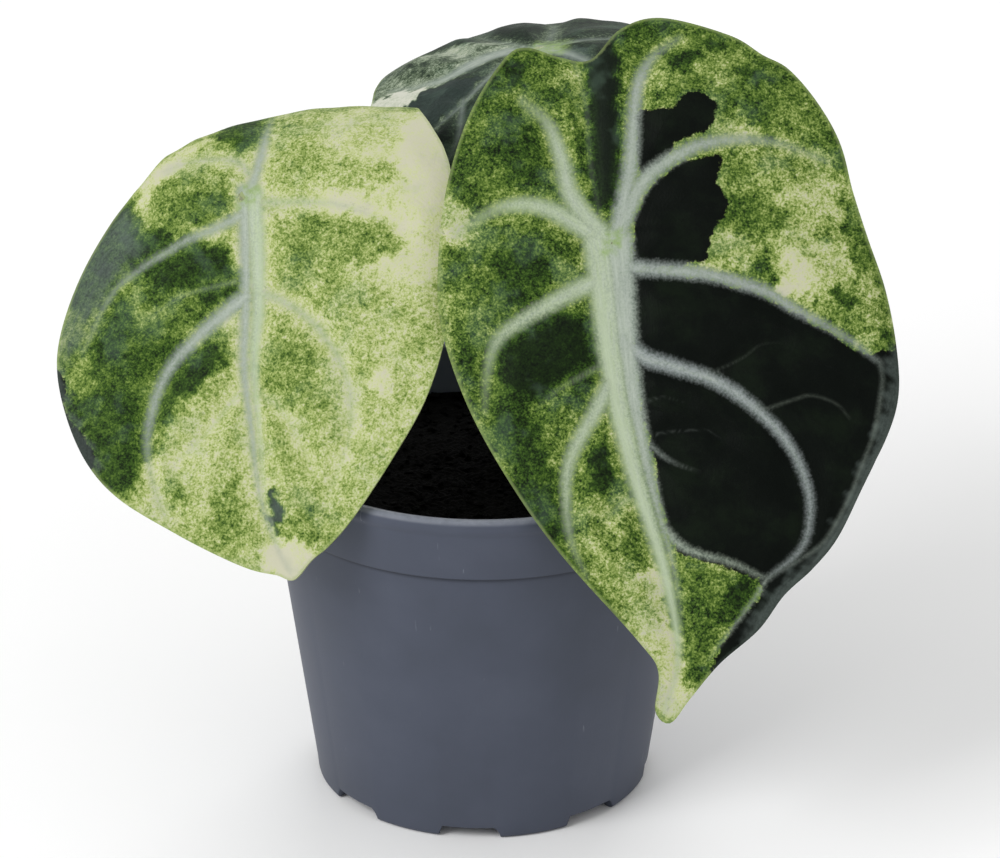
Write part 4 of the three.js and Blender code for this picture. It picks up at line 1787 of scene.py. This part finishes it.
@dataclass
class Pot:
    """The tapered nursery pot, moulded in one piece.

    Its section's small roundings are steps out and up from the sizes: UNDERSIDE from the notches'
    inner ends, FOOT from the base, BODY_TOP and COLLAR from the collar's lower edge, LIP from the
    rim's top, and INNER_FOOT from the wall's foot inside. PLAIN is a corner with no rounding.

    Attributes:
        height: Its height.
        rim_radius: The outer radius of its lip.
        base_radius: The outer radius just above its foot.
        collar_bottom: The height of the collar's lower edge.
        collar_step: How far the collar stands out.
        lip_overhang: How far the lip stands out past the collar's lower edge.
        lip_width: How much wider the lip is than the hole inside it.
        lip_depth: How far below the rim's top the inner wall starts.
        inner_round: How high the rounding round the inner floor is.
        wall: The thickness of the wall at its foot.
        floor: The height of the inner floor.
        notch_count: How many shallow drain notches its foot has.
        notch_turn: The first notch's place, in degrees from the front.
        notch_inner: How far from the middle the notches start.
        notch_width: How wide each one is.
        notch_height: How high each one is.
        segments: How many faces the pot has round.
    """

    height: float = 100.5
    rim_radius: float = 60.0
    base_radius: float = 45.6
    collar_bottom: float = 83.0
    collar_step: float = 1.2
    lip_overhang: float = 2.2
    lip_width: float = 3.8
    lip_depth: float = 1.6
    inner_round: float = 2.0
    wall: float = 1.8
    floor: float = 5.2
    notch_count: int = 8
    notch_turn: float = -4.7
    notch_width: float = 15.5
    notch_height: float = 3.4
    notch_inner: float = 33.0
    segments: int = 288

    UNDERSIDE: ClassVar[tuple[Point, ...]] = ((-1.0, 0.0), (0.0, 0.0), (0.6, 0.0))
    FOOT: ClassVar[tuple[Point, ...]] = (
        (-2.0, 0.0), (-1.3, 0.1), (-0.8, 0.35), (-0.4, 0.8), (-0.25, 1.4), (0.0, 4.1),
    )
    BODY_TOP: ClassVar[tuple[Point, ...]] = ((-0.05, -0.5), (0.0, -0.05), (0.2, 0.1))
    COLLAR: ClassVar[tuple[Point, ...]] = ((-0.3, 0.12), (-0.1, 0.25), (0.0, 0.5))
    LIP: ClassVar[tuple[Point, ...]] = (
        (-0.9, -5.0), (-0.7, -4.2), (-0.2, -3.4), (0.0, -2.6), (0.0, -1.4), (-0.4, -0.6),
        (-1.1, -0.15), (-2.0, 0.0), (-2.9, -0.15), (-3.5, -0.7),
    )
    INNER_FOOT: ClassVar[tuple[Point, ...]] = ((-0.7, 0.5), (-2.0, 0.0))
    PLAIN: ClassVar[tuple[Point, ...]] = ((0.0, 0.0),)

    def inner_radius(self, height: float) -> float:
        """Measures the wall's inner radius.

        Args:
            height: The height that it is measured at.

        Returns:
            The radius.
        """
        share = (height - self.floor) / (self.height - self.floor)
        floor_radius = self.base_radius - self.wall
        return floor_radius + (self.rim_radius - self.lip_width - floor_radius) * share

    def profile(self) -> np.ndarray:
        """Draws the section from the middle of the base round to the middle of the inner floor.

        Returns:
            Each point's radius and height.
        """
        body_top = self.rim_radius - self.lip_overhang - self.collar_step
        inner_top = self.height - self.lip_depth
        inner_bottom = self.floor + self.inner_round
        parts = (
            (self.notch_inner, 0.0, self.UNDERSIDE),
            (self.base_radius, 0.0, self.FOOT),
            (body_top, self.collar_bottom, self.BODY_TOP),
            (body_top + self.collar_step, self.collar_bottom, self.COLLAR),
            (self.rim_radius, self.height, self.LIP),
            (self.inner_radius(inner_top), inner_top, self.PLAIN),
            (self.inner_radius(inner_bottom), inner_bottom, self.PLAIN),
            (self.inner_radius(self.floor), self.floor, self.INNER_FOOT),
        )
        corners = [(radius + out, height + up) for radius, height, steps in parts
                   for out, up in steps]
        return np.array([(0.0, 0.0), *corners, (0.0, self.floor)])

    def notch(self, x: np.ndarray, y: np.ndarray) -> np.ndarray:
        """Says how far the drain notches lift the underside.

        Args:
            x: The points' places across the pot.
            y: Their places from front to back.

        Returns:
            Each point's share, from 0 to 1.
        """
        radius = np.hypot(x, y)
        turn = np.arctan2(x, -y) - math.radians(self.notch_turn)
        period = FULL_TURN / self.notch_count
        offset = np.abs((turn + period / 2) % period - period / 2) * radius
        edge = soft_step((self.notch_width / 2 + 0.4 - offset) / 0.8)
        return edge * (radius > self.notch_inner - 0.5)

    def build(self) -> bpy.types.Object:
        """Spins the section and lifts the notches into the foot.

        Returns:
            The piece.
        """
        section = self.profile()
        deselect()
        bpy.ops.mesh.primitive_circle_add(vertices=len(section), radius=1.0, fill_type="NOTHING")
        piece = bpy.context.object
        piece.name = piece.data.name = "pot_shell"
        write_points(piece, np.column_stack([section[:, 0], 0 * section[:, 0], section[:, 1]]) * MM)
        rework(piece, lambda: bpy.ops.mesh.spin(
            steps=self.segments, angle=FULL_TURN, center=(0.0, 0.0, 0.0), axis=(0.0, 0.0, 1.0),
            use_auto_merge=True))
        rework(piece, merge, face_outwards)
        points = read_points(piece)
        low = points[:, 2] / MM < self.notch_height
        low &= np.hypot(points[:, 0], points[:, 1]) / MM < self.base_radius + 0.01
        lift = self.notch(points[:, 0] / MM, points[:, 1] / MM) * low
        height = points[:, 2] / MM
        points[:, 2] = (height + lift * np.maximum(self.notch_height - height, 0.0)) * MM
        write_points(piece, points)
        smooth(piece, 40.0)
        finish = PotFinish(self.height * MM, self.collar_bottom * MM)
        piece.data.materials.append(finish.build())
        return piece

    def dress(self) -> None:
        """Builds the pot and ties it to the frame."""
        settle(self.build(), "pot")


@dataclass
class Soil:
    """The potting mix: one filled body with a lumpy top, and loose crumbs on it.

    Attributes:
        pot: The pot that it fills.
        top: About how high its top stands.
        clearance: The gap that it leaves to the pot.
        columns: How many faces the body has round.
        rows: How many it has along its section.
        crumbs: How many crumbs are drawn.
        crumb_sizes: The smallest and the largest crumb's usual radius.
        seed: Where the random draws start.
    """

    pot: Pot
    top: float = 88.0
    clearance: float = 0.35
    columns: int = 220
    rows: int = 150
    crumbs: int = 620
    crumb_sizes: Point = (0.5, 1.8)
    seed: int = 11

    def surface(self, x: np.ndarray, y: np.ndarray) -> np.ndarray:
        """Shapes the top's lumps.

        Args:
            x: The points' places across the pot.
            y: Their places from front to back.

        Returns:
            Their heights.
        """
        broad = np.sin(x * 0.17 + 1.1) * np.cos(y * 0.21 - 0.4)
        fine = np.sin(x * 0.43 - y * 0.31) * np.cos(y * 0.37 + x * 0.12)
        rough = np.sin(x * 1.7 + 2.0 * np.sin(y * 0.9)) * np.cos(y * 1.9 + np.sin(x * 1.1))
        return self.top - 0.5 + 0.9 * (0.6 * broad + 0.4 * fine) + 0.35 * rough

    def build(self) -> bpy.types.Object:
        """Models the filled body.

        Returns:
            The piece.
        """
        piece, shares = add_sheet("soil_bed", self.columns, self.rows)
        angle = shares[:, 0] * FULL_TURN
        share = shares[:, 1]
        bottom = self.pot.floor + self.clearance
        edge_top = self.top - 1.0
        low = self.pot.inner_radius(bottom) - self.clearance
        high = self.pot.inner_radius(edge_top) - self.clearance
        reach = np.interp(share, (0.0, 0.08, 0.1, 0.2, 0.22, 1.0),
                          (0.0, low - 2.2, low - 0.6, high, high - 0.6, 0.0))
        height = np.interp(share, (0.0, 0.08, 0.1, 0.2, 1.0),
                           (bottom, bottom, bottom + 1.0, edge_top, edge_top))
        x, y = reach * np.cos(angle), reach * np.sin(angle)
        lift = soft_step((share - 0.2) / 0.04)
        height = height * (1.0 - lift) + self.surface(x, y) * lift
        write_points(piece, np.column_stack([x, y, height]) * MM)
        close(piece, 60.0, SoilFinish("soil_mix").build())
        return piece

    def scatter(self) -> bpy.types.Object:
        """Models one crumb and lays copies of it over the top, as one piece.

        Returns:
            The piece.
        """
        deselect()
        bpy.ops.mesh.primitive_ico_sphere_add(subdivisions=1, radius=1.0)
        piece = bpy.context.object
        piece.name = piece.data.name = "soil_crumbs"
        crumb = read_points(piece)
        faces = np.array([tuple(face.vertices) for face in piece.data.polygons])
        draw = np.random.default_rng(self.seed)
        edge = self.pot.inner_radius(self.top) - 3.0
        smallest, largest = self.crumb_sizes
        points, polygons = [], []
        for i in range(self.crumbs):
            reach = edge * math.sqrt(draw.random())
            angle = draw.random() * FULL_TURN
            size = smallest + (largest - smallest) * draw.random() ** 3
            shape = crumb * (1.0 + 0.35 * draw.standard_normal(crumb.shape))
            shape *= size * draw.uniform((0.8, 0.6, 0.4), (1.5, 1.1, 0.7))
            turn = draw.random() * FULL_TURN
            x = shape[:, 0] * math.cos(turn) - shape[:, 1] * math.sin(turn)
            y = shape[:, 0] * math.sin(turn) + shape[:, 1] * math.cos(turn)
            centre = (reach * math.cos(angle), reach * math.sin(angle))
            if math.hypot(centre[0] - CROWN.x, centre[1] - CROWN.y) < CROWN.radius + 1.5:
                continue
            ground = self.surface(np.array([centre[0]]), np.array([centre[1]]))[0]
            z = ground + shape[:, 2] + 0.15 * size
            polygons.append(faces + len(points) * len(crumb))
            points.append(np.column_stack([x + centre[0], y + centre[1], z]) * MM)
        mesh = piece.data
        mesh.clear_geometry()
        mesh.from_pydata(np.vstack(points).tolist(), [], np.vstack(polygons).tolist())
        # The crumbs' near-black colours are partly their own dark tone, partly painted shade.
        mesh.materials.append(SoilFinish("soil_crumb", "010101", "0b0806").build())
        rework(piece, merge, face_outwards)
        return piece

    def dress(self) -> None:
        """Builds the soil and its crumbs, and ties them to the frame."""
        settle(self.build(), "soil")
        settle(self.scatter(), "soil", replaces=False)


# Studio


@dataclass
class Studio:
    """The pale floor, the soft lights and the camera.

    Attributes:
        target: The point at the picture's centre.
        distance: The camera's distance from it.
        elevation: The camera's height above it, in degrees.
        lens: The focal length that frames the plant as the photograph does.
        aim: The point that the lights face, in metres.
        glow: The strength of the white surroundings.
        lights: Each light's name, its place and side in metres, and its power in watts.
    """

    target: Place = (4.66, 0.0, 99.9)
    distance: float = 1300.0
    elevation: float = 24.4
    lens: float = 175.03
    aim: Place = (0.0, 0.0, 0.12)
    glow: float = 0.6
    lights: tuple[tuple[str, Place, float, float], ...] = (
        ("key", (-1.2, -1.0, 1.3), 1.0, 22.0),
        ("fill", (0.9, -1.3, 1.0), 1.2, 2.0),
        ("back", (0.2, 1.2, 1.2), 1.0, 8.0),
    )

    def camera(self) -> None:
        """Places the camera in front of the plant, looking down on it."""
        tilt = math.radians(self.elevation)
        data = bpy.data.cameras.new("camera")
        data.lens = self.lens
        data.sensor_width = 36.0
        data.clip_end = 20.0
        camera = bpy.data.objects.new("camera", data)
        back = np.array([0.0, -math.cos(tilt), math.sin(tilt)]) * self.distance
        camera.location = (np.array(self.target) + back) * MM
        camera.rotation_euler = (math.pi / 2 - tilt, 0.0, 0.0)
        bpy.context.scene.collection.objects.link(camera)
        bpy.context.scene.camera = camera

    def light(self, name: str, place: Place, size: float, power: float) -> None:
        """Adds one soft panel of light that faces the plant.

        Args:
            name: Its name.
            place: Where it is, in metres.
            size: The length of its side, in metres.
            power: Its power, in watts.
        """
        data = bpy.data.lights.new(name, "AREA")
        data.shape = "SQUARE"
        data.size = size
        data.energy = power
        lamp = bpy.data.objects.new(name, data)
        lamp.location = place
        beam = np.array(self.aim) - np.array(place)
        turn = math.atan2(beam[0], -beam[1]) + math.pi
        lamp.rotation_euler = (math.acos(-beam[2] / np.linalg.norm(beam)), 0.0, turn)
        bpy.context.scene.collection.objects.link(lamp)

    def floor(self) -> None:
        """Adds the pale floor."""
        deselect()
        bpy.ops.mesh.primitive_plane_add(size=12.0)
        floor = bpy.context.object
        floor.name = floor.data.name = "floor"
        sketch = Sketch("floor_paper")
        color = sketch.ramp(sketch.noise(400.0) + 0.5, (0.0, "f4f4f4"), (1.0, "fbfbfb"))
        floor.data.materials.append(sketch.finish(color, 0.9, 0.1))

    def dress(self) -> None:
        """Sets up the whole studio."""
        scene = bpy.context.scene
        scene.view_settings.view_transform = "Standard"
        world = bpy.data.worlds.new("studio")
        world.use_nodes = True
        background = world.node_tree.nodes["Background"]
        background.inputs["Color"].default_value = (1.0, 1.0, 1.0, 1.0)
        background.inputs["Strength"].default_value = self.glow
        scene.world = world
        self.floor()
        for light in self.lights:
            self.light(*light)
        self.camera()


def main() -> None:
    """Builds the pieces in order."""
    Studio().dress()
    pot = Pot()
    pot.dress()
    Soil(pot).dress()
    CROWN.dress()
    for petiole in PETIOLES:
        petiole.dress()
    for blade in (FRONT, LEFT, BACK):
        blade.dress()


if __name__ == "__main__":
    main()
